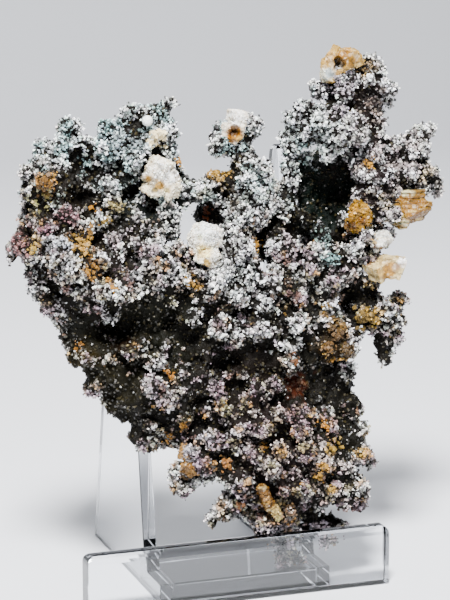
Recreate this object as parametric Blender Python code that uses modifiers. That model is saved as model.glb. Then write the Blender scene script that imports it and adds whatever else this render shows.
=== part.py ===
"""A branching native copper specimen on its clear acrylic easel.

The copper is one grown mass: a broad body with two towers, a spire and a side branch, all crusted
with small knobs and set with calcite crystals. It stands on the easel's shelf behind the lip and
leans back on the front edges of two upright side plates.

Metres, +Z up, the front towards -Y. The origin lies on the table under the middle of the lip. The
specimen is laid out on a drawing: an upright sheet held between the eye and the specimen, square to
the line of sight. A place on the specimen is (across, height, forward) in millimetres: across and
height on the drawing, and forward out from the plane of the side plates' front edges, which the
specimen leans on.
"""

import math
import random

import bmesh
import bpy
import numpy as np
from mathutils import Matrix, Vector

MM = 0.001
GAP = 0.3                     # air left between touching pieces

# Lip: the upright bar across the front
LIP_WIDTH = 100.0
LIP_HEIGHT = 19.4
LIP_THICK = 7.0
LIP_CORNER = 2.6              # radius of its upper corners
POLISH = 0.5                  # small rounding of the polished edges
SHARP_EDGE = math.radians(40)

# Shelf: the strip between the side plates, behind the lip
SHELF_THICK = 6.5
SHELF_BACK = 30.0             # its rear edge's distance behind the origin

# Side plates: two upright triangles, each with a foot that reaches forward to the lip
PLATE_THICK = 4.3
PLATE_SPACING = 52.6          # centre to centre
PLATE_SHIFT = 3.0             # the pair sits this far right of the lip's middle
PLATE_FRONT = 16.5            # leaning front edge's distance behind the origin, at table height
PLATE_LEAN = math.radians(9.6)
PLATE_HEIGHT = 137.0
PLATE_FOOT = 76.5             # rear corner's distance behind the origin
PLATE_TOP_RADIUS = 4.5

# The drawing that the specimen is laid out on
VIEW_TURN = math.radians(-19.0)
VIEW_DOWN = math.radians(12.0)
EYE = Vector((-228.7, -650.9, 242.5))
DRAWING_ORIGIN = Vector((-12.6, -19.0, 17.5))
DRAWING_SCALE = 0.96          # the sheet is nearer the eye than the specimen, so it is drawn smaller

# The copper's skin
VOXEL = 1.2
FRONT_FACES = 5300            # the seen side keeps most of the faces
BACK_FACES = 1850
CRAG_HEIGHT = 1.5
CRAG_SIZE = 3.6

COLLECTION = bpy.data.collections.new("native_copper_specimen")
CUTTERS = bpy.data.collections.new("cutters")


def clear_scene():
    for item in list(bpy.data.objects):
        bpy.data.objects.remove(item, do_unlink=True)
    bpy.context.scene.collection.children.link(COLLECTION)
    bpy.context.scene.collection.children.link(CUTTERS)


def principled(name, rgb, roughness, metallic=0.0, transmission=0.0, ior=1.5):
    """One Principled material with the part's plain colour."""
    material = bpy.data.materials.new(name)
    material.use_nodes = True
    shader = material.node_tree.nodes["Principled BSDF"]
    shader.inputs["Base Color"].default_value = (*rgb, 1.0)
    shader.inputs["Roughness"].default_value = roughness
    shader.inputs["Metallic"].default_value = metallic
    shader.inputs["Transmission Weight"].default_value = transmission
    shader.inputs["IOR"].default_value = ior
    material.diffuse_color = (*rgb, 1.0)
    return material


def add_object(name, mesh, material=None, collection=COLLECTION):
    item = bpy.data.objects.new(name, mesh)
    collection.objects.link(item)
    if material is not None:
        mesh.materials.clear()
        mesh.materials.append(material)
    return item


def mesh_from(name, bm):
    """Write a bmesh given in millimetres into a new mesh in metres."""
    bmesh.ops.scale(bm, vec=(MM, MM, MM), verts=bm.verts)
    mesh = bpy.data.meshes.new(name)
    bm.to_mesh(mesh)
    bm.free()
    return mesh


def evaluated_mesh(item):
    """The object's mesh with its modifiers applied, as a new mesh."""
    graph = bpy.context.evaluated_depsgraph_get()
    return bpy.data.meshes.new_from_object(item.evaluated_get(graph))


def bake_modifiers(item):
    mesh = evaluated_mesh(item)
    item.modifiers.clear()
    item.data = mesh


def boolean(item, cutter, operation, solver="EXACT"):
    modifier = item.modifiers.new(operation.lower(), "BOOLEAN")
    modifier.operation = operation
    modifier.solver = solver
    modifier.object = cutter
    bake_modifiers(item)


def shell_volume(faces):
    """Signed volume enclosed by a set of triangles."""
    total = 0.0
    for face in faces:
        a, b, c = (vert.co for vert in face.verts)
        total += a.dot(b.cross(c)) / 6.0
    return total


def keep_largest_shell(item):
    """Drop loose crumbs and sealed inner cavities, so that one closed skin is left."""
    bm = bmesh.new()
    bm.from_mesh(item.data)
    bmesh.ops.triangulate(bm, faces=bm.faces)
    unseen = set(bm.faces)
    shells = []
    while unseen:
        stack = [unseen.pop()]
        shell = list(stack)
        while stack:
            for edge in stack.pop().edges:
                for face in edge.link_faces:
                    if face in unseen:
                        unseen.remove(face)
                        shell.append(face)
                        stack.append(face)
        shells.append(shell)
    shells.sort(key=shell_volume)
    for shell in shells[:-1]:
        bmesh.ops.delete(bm, geom=shell, context="FACES")
    bm.to_mesh(item.data)
    bm.free()


def place(across, height, forward):
    """Follow the line of sight through a place on the drawing to its depth, in millimetres."""
    right = Vector((math.cos(VIEW_TURN), math.sin(VIEW_TURN), 0.0))
    back = Vector((math.sin(VIEW_TURN) * math.cos(VIEW_DOWN), -math.cos(VIEW_TURN) * math.cos(VIEW_DOWN),
                   math.sin(VIEW_DOWN)))
    up = back.cross(right)
    drawn = DRAWING_ORIGIN + (right * across + up * height) * DRAWING_SCALE
    sight = drawn - EYE
    normal = Vector((0.0, -math.cos(PLATE_LEAN), math.sin(PLATE_LEAN)))
    plane_point = Vector((0.0, PLATE_FRONT, 0.0)) + normal * forward
    return EYE + sight * ((plane_point - EYE).dot(normal) / sight.dot(normal))


# The copper mass, as (across, height, forward, radius) of its lumps

LEFT_WING = (
    (-57, 101, 11, 8), (-63, 101, 9, 4.6), (-60, 92, 8, 4), (-56, 87, 8, 3.6), (-56, 108, 12, 6.5),
    (-47, 97, 15, 9.5), (-36, 95, 16, 9.5), (-44, 88, 13, 8.5), (-33, 85, 15, 8.5),
    (-47, 110, 12, 7.5), (-37, 107, 13, 8.5), (-50, 101, 19, 5), (-43, 93, 21, 5), (-30, 88, 21, 5.5),
    (-38, 86, 20, 5.5), (-47, 85, 9, 7),
)
LEFT_SHOULDER = (
    (-57, 117, 11, 5.5), (-60, 124, 9, 4.2), (-55, 122, 13, 5.5), (-53, 128, 10, 4.2),
    (-57, 132.5, 8, 2.6), (-52, 133, 8, 2.8), (-46, 134, 8, 3), (-41, 134, 8, 3), (-38, 132, 8, 3.5),
    (-46.5, 139, 8, 2.5), (-48, 142, 8, 1.8), (-44, 124, 3, 6.5), (-42, 116, 4, 6.5), (-49, 119, 10, 5.5),
    (-34, 121, 12, 5), (-35, 113, 13, 5.5), (-49, 127, 8, 4),
)
LEFT_TOWER = (
    (-35, 127, 9, 5), (-34.5, 133, 9, 5), (-36, 138, 9, 3.2), (-31, 138, 10, 4.6), (-29.5, 143, 9, 2.6),
    (-29, 146, 9, 1.8), (-24, 139, 11, 5), (-23, 144, 10, 2.8), (-19, 144, 10, 3.2), (-16, 146.5, 9, 2.4),
    (-14.5, 148, 9, 1.8), (-18, 138, 11, 4.2), (-17.5, 132, 11, 5), (-27, 131, 11, 6), (-20, 125, 9, 6.5),
    (-14.5, 127.5, 9, 3.2), (-12, 124, 8, 3), (-29, 122, 4, 6), (-27, 114, 9, 6), (-17, 117, 10, 6.5),
    (-10, 119, 9, 4.6), (-5, 118, 9, 4.6), (-0.5, 122, 11, 4.2), (-4, 112, 5, 5),
)
SPIRE = (
    (2, 136, 12, 4.8), (9.5, 139, 12, 3.4), (12, 138.5, 11, 2.2), (10, 142.5, 11, 2), (0, 134, 12, 2.6),
    (-1, 132, 12, 1.7), (6.5, 133, 12, 4), (6.5, 129, 11, 4.2), (10, 126, 12, 4.8), (8, 120, 12, 5.6),
    (11, 114, 13, 5.6), (7, 108, 15, 6.6), (14, 118, 10, 4), (18, 115, 9, 4.5),
)
BODY = (
    (-25, 104, 14, 8.5), (-17, 108, 12, 5.5), (-24, 93, 16, 9), (-12, 95, 15, 8.5), (-20, 85, 16, 8),
    (-9, 84, 14, 8), (-24, 77, 8, 8.5), (-13, 76, 8, 8), (-1, 97, 18, 8), (7, 98, 17, 7.5),
    (6, 88, 18, 9), (-3, 87, 18, 8), (15, 86, 16, 8), (15, 104, 6, 6), (22, 97, 12, 7.5), (20, 106, 8, 5.5),
    (30, 95, 14, 8.5), (31, 87, 15, 7.5), (24, 88, 15, 7), (40, 97, 13, 7), (43, 86, 5, 6), (24, 79, 15, 7.5),
    (13, 76, 16, 8.5), (2, 76, 16, 8.5), (-6, 69, 10, 8), (-16, 67, 10, 8), (-26, 69, 12, 6.5),
    (8, 66, 13, 8.5), (19, 66, 13, 8.5), (28, 69, 13, 7.5), (34, 77, 14, 5), (38, 75, 14, 4.8),
    (34, 69.5, 14, 4.4), (40, 69.5, 13, 4.4), (31, 61, 7, 7.5), (38, 61, 7, 6.5),
)
LEFT_SLOPE = (
    (-50, 82.5, 9, 5.8), (-44, 76, 8, 7.2), (-45, 67, 7, 5.5), (-37, 68, 9, 7.5), (-39, 59.5, 7, 5),
    (-31, 60, 9, 7.5), (-32, 51, 7, 5), (-26, 50, 8, 6.5), (-27, 42, 6, 4.5), (-20, 41, 8, 5.5),
)
LOWER_BODY = (
    (-2, 60, 12, 7.5), (-12, 58, 14, 8), (-21, 56, 13, 7.5), (9, 57, 14, 8.5), (20, 56, 12, 8.5),
    (29, 54, 8, 7), (35, 52, 7, 7), (41, 52, 7, 5.5), (-14, 49, 12, 6.5), (-4, 50, 11, 6.5),
    (4, 48, 16, 8), (14, 46, 17, 8.5), (24, 46, 17, 8.5), (33, 45, 14, 7.5), (42, 44, 8, 5.5),
    (-10, 41, 10, 5.2), (0, 38, 14, 7), (9, 36, 17, 7.5), (19, 35, 18, 8.5), (29, 34, 18, 8),
    (37, 35, 15, 6.5), (43.5, 36, 11, 5), (-4, 36, 14, 5.5), (-2, 31, 14, 4.5), (-13, 29, 9, 3.4),
    (-10, 25, 9, 3.4), (-14, 26, 9, 2.6), (-7, 31, 9, 5), (11, 26, 16, 6.5), (20, 26, 18, 7.5),
    (29, 26, 18, 7), (37, 27, 17, 6.5), (43, 25, 15, 5), (45, 21, 13, 3.4), (40, 20.5, 14, 4.2),
    (4, 22.5, 12, 4.5), (12, 18, 12, 5),
)
FOOT = (
    (-3, 15, 9, 2.2), (-2, 18, 10, 2.6), (2, 18.5, 10, 4), (14, 13.5, 12, 4.6), (19, 14, 13, 5.4),
    (21, 19, 15, 6.4), (23, 11, 11, 3.8), (16, 10.5, 11, 3), (29, 18, 11, 5), (32, 13, 9.5, 3.4),
    (33.5, 9, 9, 2.8), (31, 8, 9, 2.2), (39, 11.5, 10, 1.8), (36.5, 13, 10, 2.6), (20, 7.5, 9, 3.6),
    (21, 3.6, 8, 3.6), (24, 2.8, 8, 2.6), (18.5, 2.8, 8, 2.4),
)
RIGHT_TOWER = (
    (35, 154, 10, 3.8), (40, 156, 9, 4), (44, 158.5, 9, 3.8), (46.5, 161, 9, 2.6), (49, 156.5, 9, 4.2),
    (52, 152.5, 9, 4.2), (55, 152, 9, 2.2), (46, 151, 9, 5.2), (38, 150, 10, 5), (50.5, 146, 8, 4),
    (46, 143, 9, 5.6), (37.5, 143, 11, 6), (27, 144, 14, 4.2), (22, 142, 12, 3), (20.5, 144.5, 11, 1.6),
    (25, 139.5, 14, 4.4), (31, 140, 17, 5), (37, 137, 19, 5.6), (43, 138, 18, 5.2), (20.5, 135, 11, 3.2),
    (22, 131, 11, 3.4), (28, 136, 14, 4), (34, 131.5, 15, 3.2), (49.5, 138, 10, 4.6), (48.5, 133, 10, 5),
    (33, 125, 0, 7.5), (36, 115, -1, 7.5), (31, 106, 1, 7.5), (38, 132, 3, 6.5), (42, 122, 3, 5.5),
    (22, 126, 10, 3.4), (22.5, 120.5, 10, 3.8), (21.5, 114, 9, 4.2), (24, 110, 8, 4.5), (41, 108, 8, 5.5),
)
RIGHT_BRANCH = (
    (45, 127, 13, 4.8), (47, 120, 13, 5.2), (45, 112, 14, 4.8), (52, 128, 12, 5.2), (54, 121, 11, 5),
    (50, 112, 12, 5.2), (59, 133.5, 10, 4), (62, 138, 10, 3.4), (66.5, 138, 9, 2.4), (63, 132, 11, 4.8),
    (58, 127, 11, 5.4), (65, 125, 10, 4.6), (68, 122, 9, 2.8), (69, 118, 8, 2), (60, 119, 9, 4.6),
    (50, 104.5, 11, 4.8), (46, 98, 12, 5.6), (44, 104, 12, 5.6), (41, 111, 9, 4.6), (49, 89, 10, 3.6),
    (54.5, 81, 12, 5), (52, 76, 12, 5.2), (56.5, 84.5, 11, 2.8), (56, 72.5, 11, 2.8), (52, 69.5, 10, 3.4),
    (52, 65.5, 10, 2.2), (47, 80, 10, 5), (46, 92, 10, 5), (42, 84.5, 8, 5.5), (44, 79, 8, 5.5),
    (41.5, 73.5, 9, 5), (41, 91, 6, 6),
)
BACK = (
    (4, 100, 0, 9), (-2, 80, 0, 10), (8, 62, 1, 9), (12, 80, 0, 9), (14, 42, 5, 9), (-46, 97, 4, 8),
    (-40, 78, 3, 7), (-50, 110, 5, 6), (42, 100, 3, 7), (52, 122, 5, 6), (10, 118, 4, 5),
    (24, 32, 8, 8), (27, 127, 2, 5.5), (27, 119, 1, 5.5), (27.5, 111, 1, 5.5), (14, 107, 2, 5.5),
    (-44.5, 130, 6, 4.2), (2, 113, 5, 4.8),
)
COPPER_LUMPS = (LEFT_WING + LEFT_SHOULDER + LEFT_TOWER + SPIRE + BODY + LEFT_SLOPE + LOWER_BODY
                + FOOT + RIGHT_TOWER + RIGHT_BRANCH + BACK)

# Clusters standing out of the front, as (across, height, radius); each is seated on the lump behind it

LEFT_CLUSTERS = (
    (-62, 125.5, 2.8), (-55.5, 128, 3), (-49.5, 127, 3), (-55.5, 122.5, 3.6), (-47.5, 122.5, 3),
    (-60, 117.7, 2.6), (-54.6, 115, 3.2), (-49, 112.3, 3.2), (-40.6, 119.3, 3), (-35, 121, 3),
    (-34, 114.5, 2.8), (-57, 107, 3.8), (-63.5, 102, 3.2), (-58.4, 100.3, 2.8), (-51.4, 108.2, 3),
    (-44.4, 107.3, 3.6), (-50.8, 100.3, 4), (-42.9, 102, 3.2), (-46, 94.6, 3.6), (-38.7, 96.5, 3.4),
    (-34.3, 102.5, 3.6), (-40.6, 90.8, 3), (-60.3, 96.5, 2.3), (-57.8, 90.8, 2.6), (-45, 86.7, 2.8),
    (-37, 87.7, 3.6), (-31.7, 87, 2.8), (-39, 110, 3), (-53, 94, 3), (-50, 118, 2.6),
)
TOWER_CLUSTERS = (
    (-35, 139, 2.6), (-28.6, 145.3, 2.3), (-30, 135, 3), (-22, 142, 2.6), (-17.5, 146.8, 2.3),
    (-19, 136.7, 2.8), (-35.5, 132, 2.6), (-28, 128.8, 3.2), (-31, 125, 2.3), (-28.6, 111.4, 3.2),
    (-22.2, 112, 3.2), (-16.5, 113.6, 2.6), (-24, 133, 2.8), (-13.5, 130, 2.4), (-38, 145.5, 1.6),
    (-11, 119.3, 2.6), (-4.8, 119.3, 3), (-44, 135, 2.2), (-51, 134, 2.2), (-47, 140.5, 2),
)
MIDDLE_CLUSTERS = (
    (-27, 102, 3.2), (-20.6, 102.5, 3.5), (-22, 96.5, 3.6), (-28.6, 92.4, 3.6), (-16, 95.6, 3.3),
    (-20.6, 89.2, 3.6), (-12.7, 90.8, 2.9), (-13.3, 101, 3), (8, 127.2, 3.2), (12, 128.8, 2.6),
    (9.5, 121, 3.3), (6.3, 116, 3), (13.3, 117.7, 2.6), (8, 111.4, 3.3), (1.6, 113.6, 2.6),
    (3.8, 106.6, 3.3), (6.3, 100.3, 4), (1.6, 94, 4), (9.5, 91.5, 3.3), (-1.6, 89.2, 3), (5.7, 85, 3.6),
    (15.2, 89.2, 2.8), (12.7, 82.9, 3), (20.6, 105, 2.8), (24.4, 101, 2.8), (31.7, 99.7, 3.3),
    (36.5, 96.5, 3.3), (28.6, 93.4, 3), (25.4, 86, 3.3), (35, 89.2, 3), (39.7, 92.4, 3), (42.9, 100.3, 3.3),
    (19, 93, 2.6), (11, 140, 2.2), (0, 135, 2.2), (21, 113, 2.4),
)
RIGHT_CLUSTERS = (
    (22.9, 142, 2.6), (27.6, 145.3, 2.6), (31.7, 141.5, 3), (27, 138.3, 3), (37.5, 144, 3.2),
    (42, 140, 3), (37.5, 136.7, 2.7), (45, 136.7, 2.7), (22.9, 133.5, 2.7), (34.3, 132.6, 2.7),
    (39.7, 150.3, 3.3), (38, 156.6, 2.8), (47.6, 154, 3.2), (52.4, 151.6, 2.8), (48.3, 160, 2.3),
    (49.2, 146.2, 2.8), (51.7, 140, 2), (48.3, 130.4, 3), (54.6, 132, 3), (60.3, 136, 3),
    (66.7, 137.7, 2), (61.9, 132, 3), (46, 125.6, 2.7), (53.3, 125, 3), (60.3, 125.6, 3),
    (67.3, 125.6, 2.7), (68.6, 119.3, 1.8), (49.2, 119.3, 2.7), (52.4, 114.5, 2.4), (46, 106, 2.7),
    (53.3, 82, 3.2), (55.6, 76.6, 2.6), (50, 78, 2.8), (46, 80.7, 2.8), (34, 78.5, 2.8), (38, 74, 2.8),
    (34, 69.5, 2.6), (40.5, 69, 2.6),
)
LOWER_CLUSTERS = (
    (-41.3, 82, 2.8), (-35, 78.8, 2.6), (-28.6, 68, 2.8), (-42.9, 66, 2.6), (-17.5, 71.8, 3),
    (-19.7, 65.5, 2.3), (-9.5, 78, 2.7), (0, 76.6, 3.6), (8, 76.6, 3), (13.3, 75.6, 3.3),
    (4.8, 71.8, 2.7), (23.8, 78, 2.7), (22.2, 70.3, 3), (22.2, 64, 3), (-3.8, 67, 2), (-4.8, 61.7, 2.5),
    (4.8, 61.7, 2.6), (-22.2, 57.6, 3.3), (-17.5, 53.5, 3.5), (-11, 50.3, 2.7), (-0.6, 56.6, 3.6),
    (0.6, 50.3, 3), (12, 56, 3.3), (17.5, 57.6, 2.7), (-22.2, 44, 3), (9.5, 50.3, 3), (20.6, 48, 3.3),
    (27, 48, 3), (6.3, 44, 3.3), (13.3, 43.4, 3), (25.4, 43.4, 3.3), (35, 43.4, 2.4), (-2.5, 40, 3.3),
    (3.8, 38.6, 2.8), (-4.8, 32.3, 3.3), (11, 35.4, 3), (19, 37, 3), (27, 37, 3), (15.9, 30.7, 3),
    (23.8, 30.7, 3), (33.3, 32.3, 3.3), (39.7, 30.7, 3), (27, 24.4, 3.3), (35, 24.4, 3), (44.4, 26, 3),
    (41.3, 20.3, 3), (8, 26, 3), (5.7, 21.2, 2.7), (14.3, 13.3, 3), (21.6, 16.5, 3.3), (-36, 60, 2.4),
    (-31, 51, 2.4), (43, 52, 2.6), (46, 43, 2.6), (46, 36, 2.8), (20, 24, 2.8),
)
CLUSTERS = LEFT_CLUSTERS + TOWER_CLUSTERS + MIDDLE_CLUSTERS + RIGHT_CLUSTERS + LOWER_CLUSTERS
CLUSTER_PROUD = 0.55          # how far a cluster's centre stands out of its lump, as a share of its radius
LOOSE_FORWARD = 9.0           # depth of a cluster that has no lump behind it

# Smaller knobs all round the sides and the back, where nothing shows their places

KNOB_SEED = 29
KNOBS_PER_LUMP = 8
KNOB_SHARE = (0.34, 0.58)     # a knob's radius as a share of its lump's
KNOB_RADIUS = (1.3, 3.8)
KNOB_SEAT = 0.78              # how far out on the lump a knob's centre sits
KNOB_FRONT = 0.45             # knobs seated further round to the front than this are left out
LUMP_CORE = 0.84              # the lump under its knobs, as a share of the drawn radius


def random_direction(chance):
    up = chance.uniform(-1.0, 1.0)
    turn = chance.uniform(0.0, 2.0 * math.pi)
    flat = math.sqrt(1.0 - up * up)
    return Vector((flat * math.cos(turn), flat * math.sin(turn), up))


def front_of(across, height):
    """How far forward the lumps reach at a place on the drawing."""
    reach = []
    for lump_across, lump_height, forward, radius in COPPER_LUMPS:
        off = math.hypot(across - lump_across, height - lump_height)
        if off < radius * LUMP_CORE:
            reach.append(forward + math.sqrt((radius * LUMP_CORE) ** 2 - off ** 2))
    return max(reach, default=LOOSE_FORWARD)


def copper_balls():
    """Lumps, the clusters on their fronts and the knobs round them, as (centre, radius) in mm."""
    chance = random.Random(KNOB_SEED)
    balls = []
    for across, height, forward, radius in COPPER_LUMPS:
        centre = place(across, height, forward)
        balls.append((centre, radius * LUMP_CORE))
        for _ in range(KNOBS_PER_LUMP):
            size = min(max(radius * chance.uniform(*KNOB_SHARE), KNOB_RADIUS[0]), KNOB_RADIUS[1])
            side = random_direction(chance)
            if size < radius and -side.y < KNOB_FRONT:
                balls.append((centre + side * (radius * KNOB_SEAT), size))
    for across, height, radius in CLUSTERS:
        forward = front_of(across, height) + radius * CLUSTER_PROUD
        balls.append((place(across, height, forward), radius))
    return balls


def ball_mesh(name, balls):
    """One mesh holding a faceted ball for each (centre, radius)."""
    bm = bmesh.new()
    bmesh.ops.create_icosphere(bm, subdivisions=2, radius=1.0)
    points = np.array([vert.co[:] for vert in bm.verts])
    faces = np.array([[vert.index for vert in face.verts] for face in bm.faces])
    bm.free()
    centres = np.array([centre[:] for centre, _ in balls])
    radii = np.array([radius for _, radius in balls])
    all_points = (centres[:, None, :] + radii[:, None, None] * points[None]) * MM
    all_faces = faces[None] + (np.arange(len(balls)) * len(points))[:, None, None]
    mesh = bpy.data.meshes.new(name)
    mesh.from_pydata(all_points.reshape(-1, 3).tolist(), [], all_faces.reshape(-1, 3).tolist())
    return mesh


def run_together(item):
    """Wrap everything in one skin without inner walls."""
    remesh = item.modifiers.new("skin", "REMESH")
    remesh.mode = "VOXEL"
    remesh.voxel_size = VOXEL * MM
    bake_modifiers(item)
    keep_largest_shell(item)


def copper_mass(material):
    """Lumps and knobs run together into one craggy skin, with few enough faces to stay light."""
    copper = add_object("native_copper", ball_mesh("native_copper", copper_balls()), material)
    run_together(copper)
    crags = bpy.data.textures.new("crags", "CLOUDS")
    crags.noise_scale = CRAG_SIZE * MM
    displace = copper.modifiers.new("crags", "DISPLACE")
    displace.texture = crags
    displace.texture_coords = "GLOBAL"
    displace.strength = CRAG_HEIGHT * MM
    bake_modifiers(copper)
    run_together(copper)
    thin_out(copper)
    return copper


def thin_out(item):
    """Thin the skin to its face budget: the back first, then the front."""
    mesh = item.data
    toward_eye = EYE.normalized()
    facing = np.array([vert.normal.dot(toward_eye) > 0 for vert in mesh.vertices])
    front_now = sum(facing[face.vertices[0]] for face in mesh.polygons)
    for name, chosen in (("back", ~facing), ("front", facing)):
        group = item.vertex_groups.new(name=name)
        group.add(np.flatnonzero(chosen).tolist(), 1.0, "REPLACE")
    for name, kept in (("back", front_now + BACK_FACES), ("front", FRONT_FACES + BACK_FACES)):
        thin = item.modifiers.new("thin " + name, "DECIMATE")
        thin.vertex_group = name
        thin.vertex_group_factor = 1000.0
        thin.ratio = kept / len(item.data.polygons)
        bake_modifiers(item)


# Calcite crystals, each block as (across, height, forward), (half width, depth, height), (tilts), cut seed

CRYSTALS = {
    "top_crystals": (
        ((35.2, 157, 13), (3.2, 3.0, 4.2), (8, 20, -18), 3),
        ((38, 161.2, 13), (3.8, 3.0, 3.0), (0, 38, 12), 5),
        ((42, 161.8, 12.5), (3.1, 3.0, 3.2), (10, -28, -8), 9),
    ),
    "spire_crystals": (
        ((5.5, 142.5, 13.5), (3.0, 2.6, 2.6), (6, 4, 10), 4),
        ((4, 137.5, 15), (3.6, 2.8, 3.6), (-8, 3, -12), 12),
    ),
    "left_tower_crystals": (
        ((-20, 124.5, 17), (4.2, 4.0, 5.0), (10, 14, 20), 7),
        ((-15.5, 121.5, 16), (3.4, 3.6, 4.6), (0, -24, -14), 8),
        ((-21.5, 119.5, 16), (3.0, 3.0, 2.2), (4, 40, 0), 15),
    ),
    "white_dome": (
        ((-5, 103.8, 22), (4.2, 3.8, 4.4), (12, 0, 18), 21),
        ((-3.5, 98.8, 23), (3.3, 3.2, 3.2), (-6, 24, 40), 22),
    ),
    "layered_crystal": (
        ((60, 113.6, 12), (5.2, 5.2, 4.9), (6, 8, 24), 31),
        ((57, 110, 12), (3.6, 4.0, 3.0), (-8, 30, -10), 32),
        ((59.5, 117.8, 12), (4.2, 4.2, 2.3), (4, -4, 14), 33),
    ),
    "upper_side_crystal": (
        ((50.8, 103.3, 16.5), (3.4, 3.4, 2.6), (-10, -22, 30), 41),
    ),
    "large_side_crystal": (
        ((53.2, 95.6, 16), (5.4, 4.8, 3.5), (4, 6, -18), 51),
        ((50.5, 94.6, 17), (3.7, 3.8, 2.8), (14, -20, 22), 52),
    ),
    "orange_crystals": (
        ((43.5, 113, 18.5), (2.8, 2.4, 2.8), (10, 30, 8), 61),
        ((42, 108.5, 18), (2.4, 2.4, 2.6), (-12, -16, 30), 62),
        ((46, 110.5, 18.5), (2.0, 2.2, 2.4), (0, 12, -24), 63),
    ),
    "peach_crystals": (
        ((-10.5, 35.5, 14), (2.3, 2.4, 2.4), (12, 18, 0), 71),
        ((-8.8, 31.5, 14.5), (2.2, 2.3, 2.8), (-6, -28, 24), 72),
        ((-11, 31.5, 13.5), (1.7, 2.0, 2.0), (0, 36, -20), 73),
    ),
    "orange_blade": (
        ((14.2, 22.5, 23), (1.9, 2.2, 4.8), (8, -24, 12), 81),
        ((17.2, 17.5, 21.5), (1.7, 2.0, 3.2), (-4, -30, -16), 82),
    ),
}
ORANGE_CRYSTALS = ("orange_crystals", "peach_crystals", "orange_blade")
CORNER_CUTS = 7               # flat faces cut off each block's corners
CUT_REACH = (0.78, 1.02)      # how far out a cut lies, as a share of the block's half size


def crystal_block(centre, half, tilts, seed, grow):
    """A cleaved block: a cube with flat faces cut across its corners and edges."""
    chance = random.Random(seed)
    bm = bmesh.new()
    bmesh.ops.create_cube(bm, size=2.0)
    for _ in range(CORNER_CUTS):
        normal = random_direction(chance)
        reach = chance.uniform(*CUT_REACH)
        cut = bmesh.ops.bisect_plane(bm, geom=bm.verts[:] + bm.edges[:] + bm.faces[:], dist=1e-5,
                                     plane_co=normal * reach, plane_no=normal, clear_outer=True)
        rim = [item for item in cut["geom_cut"] if isinstance(item, bmesh.types.BMEdge)]
        if rim:
            bmesh.ops.edgeloop_fill(bm, edges=rim)
    bmesh.ops.triangulate(bm, faces=bm.faces)
    bmesh.ops.recalc_face_normals(bm, faces=bm.faces)
    turn = Matrix.Identity(4)
    for angle, axis in zip(tilts, "XYZ"):
        turn = turn @ Matrix.Rotation(math.radians(angle), 4, axis)
    size = Matrix.Diagonal((half[0] + grow, half[1] + grow, half[2] + grow, 1.0))
    bmesh.ops.transform(bm, matrix=Matrix.Translation(place(*centre)) @ turn @ size, verts=bm.verts)
    return bm


def crystal_group(name, material, grow=0.0, collection=COLLECTION):
    """Blocks that grew together, joined into one solid; grown outwards for the pocket it sits in."""
    group = None
    for centre, half, tilts, seed in CRYSTALS[name]:
        block = add_object(name, mesh_from(name, crystal_block(centre, half, tilts, seed, grow)),
                           material, collection)
        if group is None:
            group = block
            continue
        boolean(group, block, "UNION")
        bpy.data.objects.remove(block, do_unlink=True)
    return group


def hide_cutter(cutter):
    cutter.hide_render = True
    cutter.display_type = "WIRE"


# The easel

def flat_solid(name, outline, thickness, middle, material, grow=0.0, collection=COLLECTION):
    """An outline in the YZ plane given a thickness along X; grow widens it all round."""
    curve = bpy.data.curves.new(name, "CURVE")
    curve.dimensions = "2D"
    curve.fill_mode = "BOTH"
    curve.extrude = (thickness / 2 + grow) * MM
    curve.offset = grow * MM
    spline = curve.splines.new("POLY")
    spline.use_cyclic_u = True
    spline.points.add(len(outline) - 1)
    for point, (y, z) in zip(spline.points, outline):
        point.co = (y * MM, z * MM, 0.0, 1.0)
    drawn = bpy.data.objects.new(name, curve)
    collection.objects.link(drawn)
    bpy.context.view_layer.update()
    mesh = evaluated_mesh(drawn)
    bpy.data.objects.remove(drawn, do_unlink=True)
    bm = bmesh.new()
    bm.from_mesh(mesh)
    bmesh.ops.remove_doubles(bm, verts=bm.verts, dist=1e-6)
    upright = Matrix(((0, 0, 1, middle * MM), (1, 0, 0, 0), (0, 1, 0, 0), (0, 0, 0, 1)))
    bmesh.ops.transform(bm, matrix=upright, verts=bm.verts)
    bmesh.ops.recalc_face_normals(bm, faces=bm.faces)
    bm.to_mesh(mesh)
    bm.free()
    return add_object(name, mesh, material, collection)


def arc(centre, radius, start, end, steps):
    """Points along an arc, angles in degrees."""
    points = []
    for step in range(steps + 1):
        angle = math.radians(start + (end - start) * step / steps)
        points.append((centre[0] + radius * math.cos(angle), centre[1] + radius * math.sin(angle)))
    return points


def plate_outline():
    """A low foot behind the lip, a leaning front edge, a rounded top and a long straight rear edge."""
    lean = PLATE_LEAN
    centre_z = PLATE_HEIGHT - PLATE_TOP_RADIUS
    centre_y = PLATE_FRONT + centre_z * math.tan(lean) + PLATE_TOP_RADIUS / math.cos(lean)
    rear_slope = math.degrees(math.atan2(PLATE_FOOT - centre_y, centre_z))
    outline = [(LIP_THICK / 2 + GAP, 0.0), (PLATE_FOOT, 0.0)]
    outline += arc((centre_y, centre_z), PLATE_TOP_RADIUS, rear_slope, 180 - math.degrees(lean), 8)
    outline += [(PLATE_FRONT + SHELF_THICK * math.tan(lean), SHELF_THICK), (LIP_THICK / 2 + GAP, SHELF_THICK)]
    return outline


def box_outline(front, back, height):
    return [(front, 0.0), (back, 0.0), (back, height), (front, height)]


def round_edges(item, segments):
    """The small rounding that flame polishing leaves on every sharp edge."""
    bevel = item.modifiers.new("polish", "BEVEL")
    bevel.width = POLISH * MM
    bevel.segments = segments
    bevel.limit_method = "ANGLE"
    bevel.angle_limit = SHARP_EDGE
    bake_modifiers(item)


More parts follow.
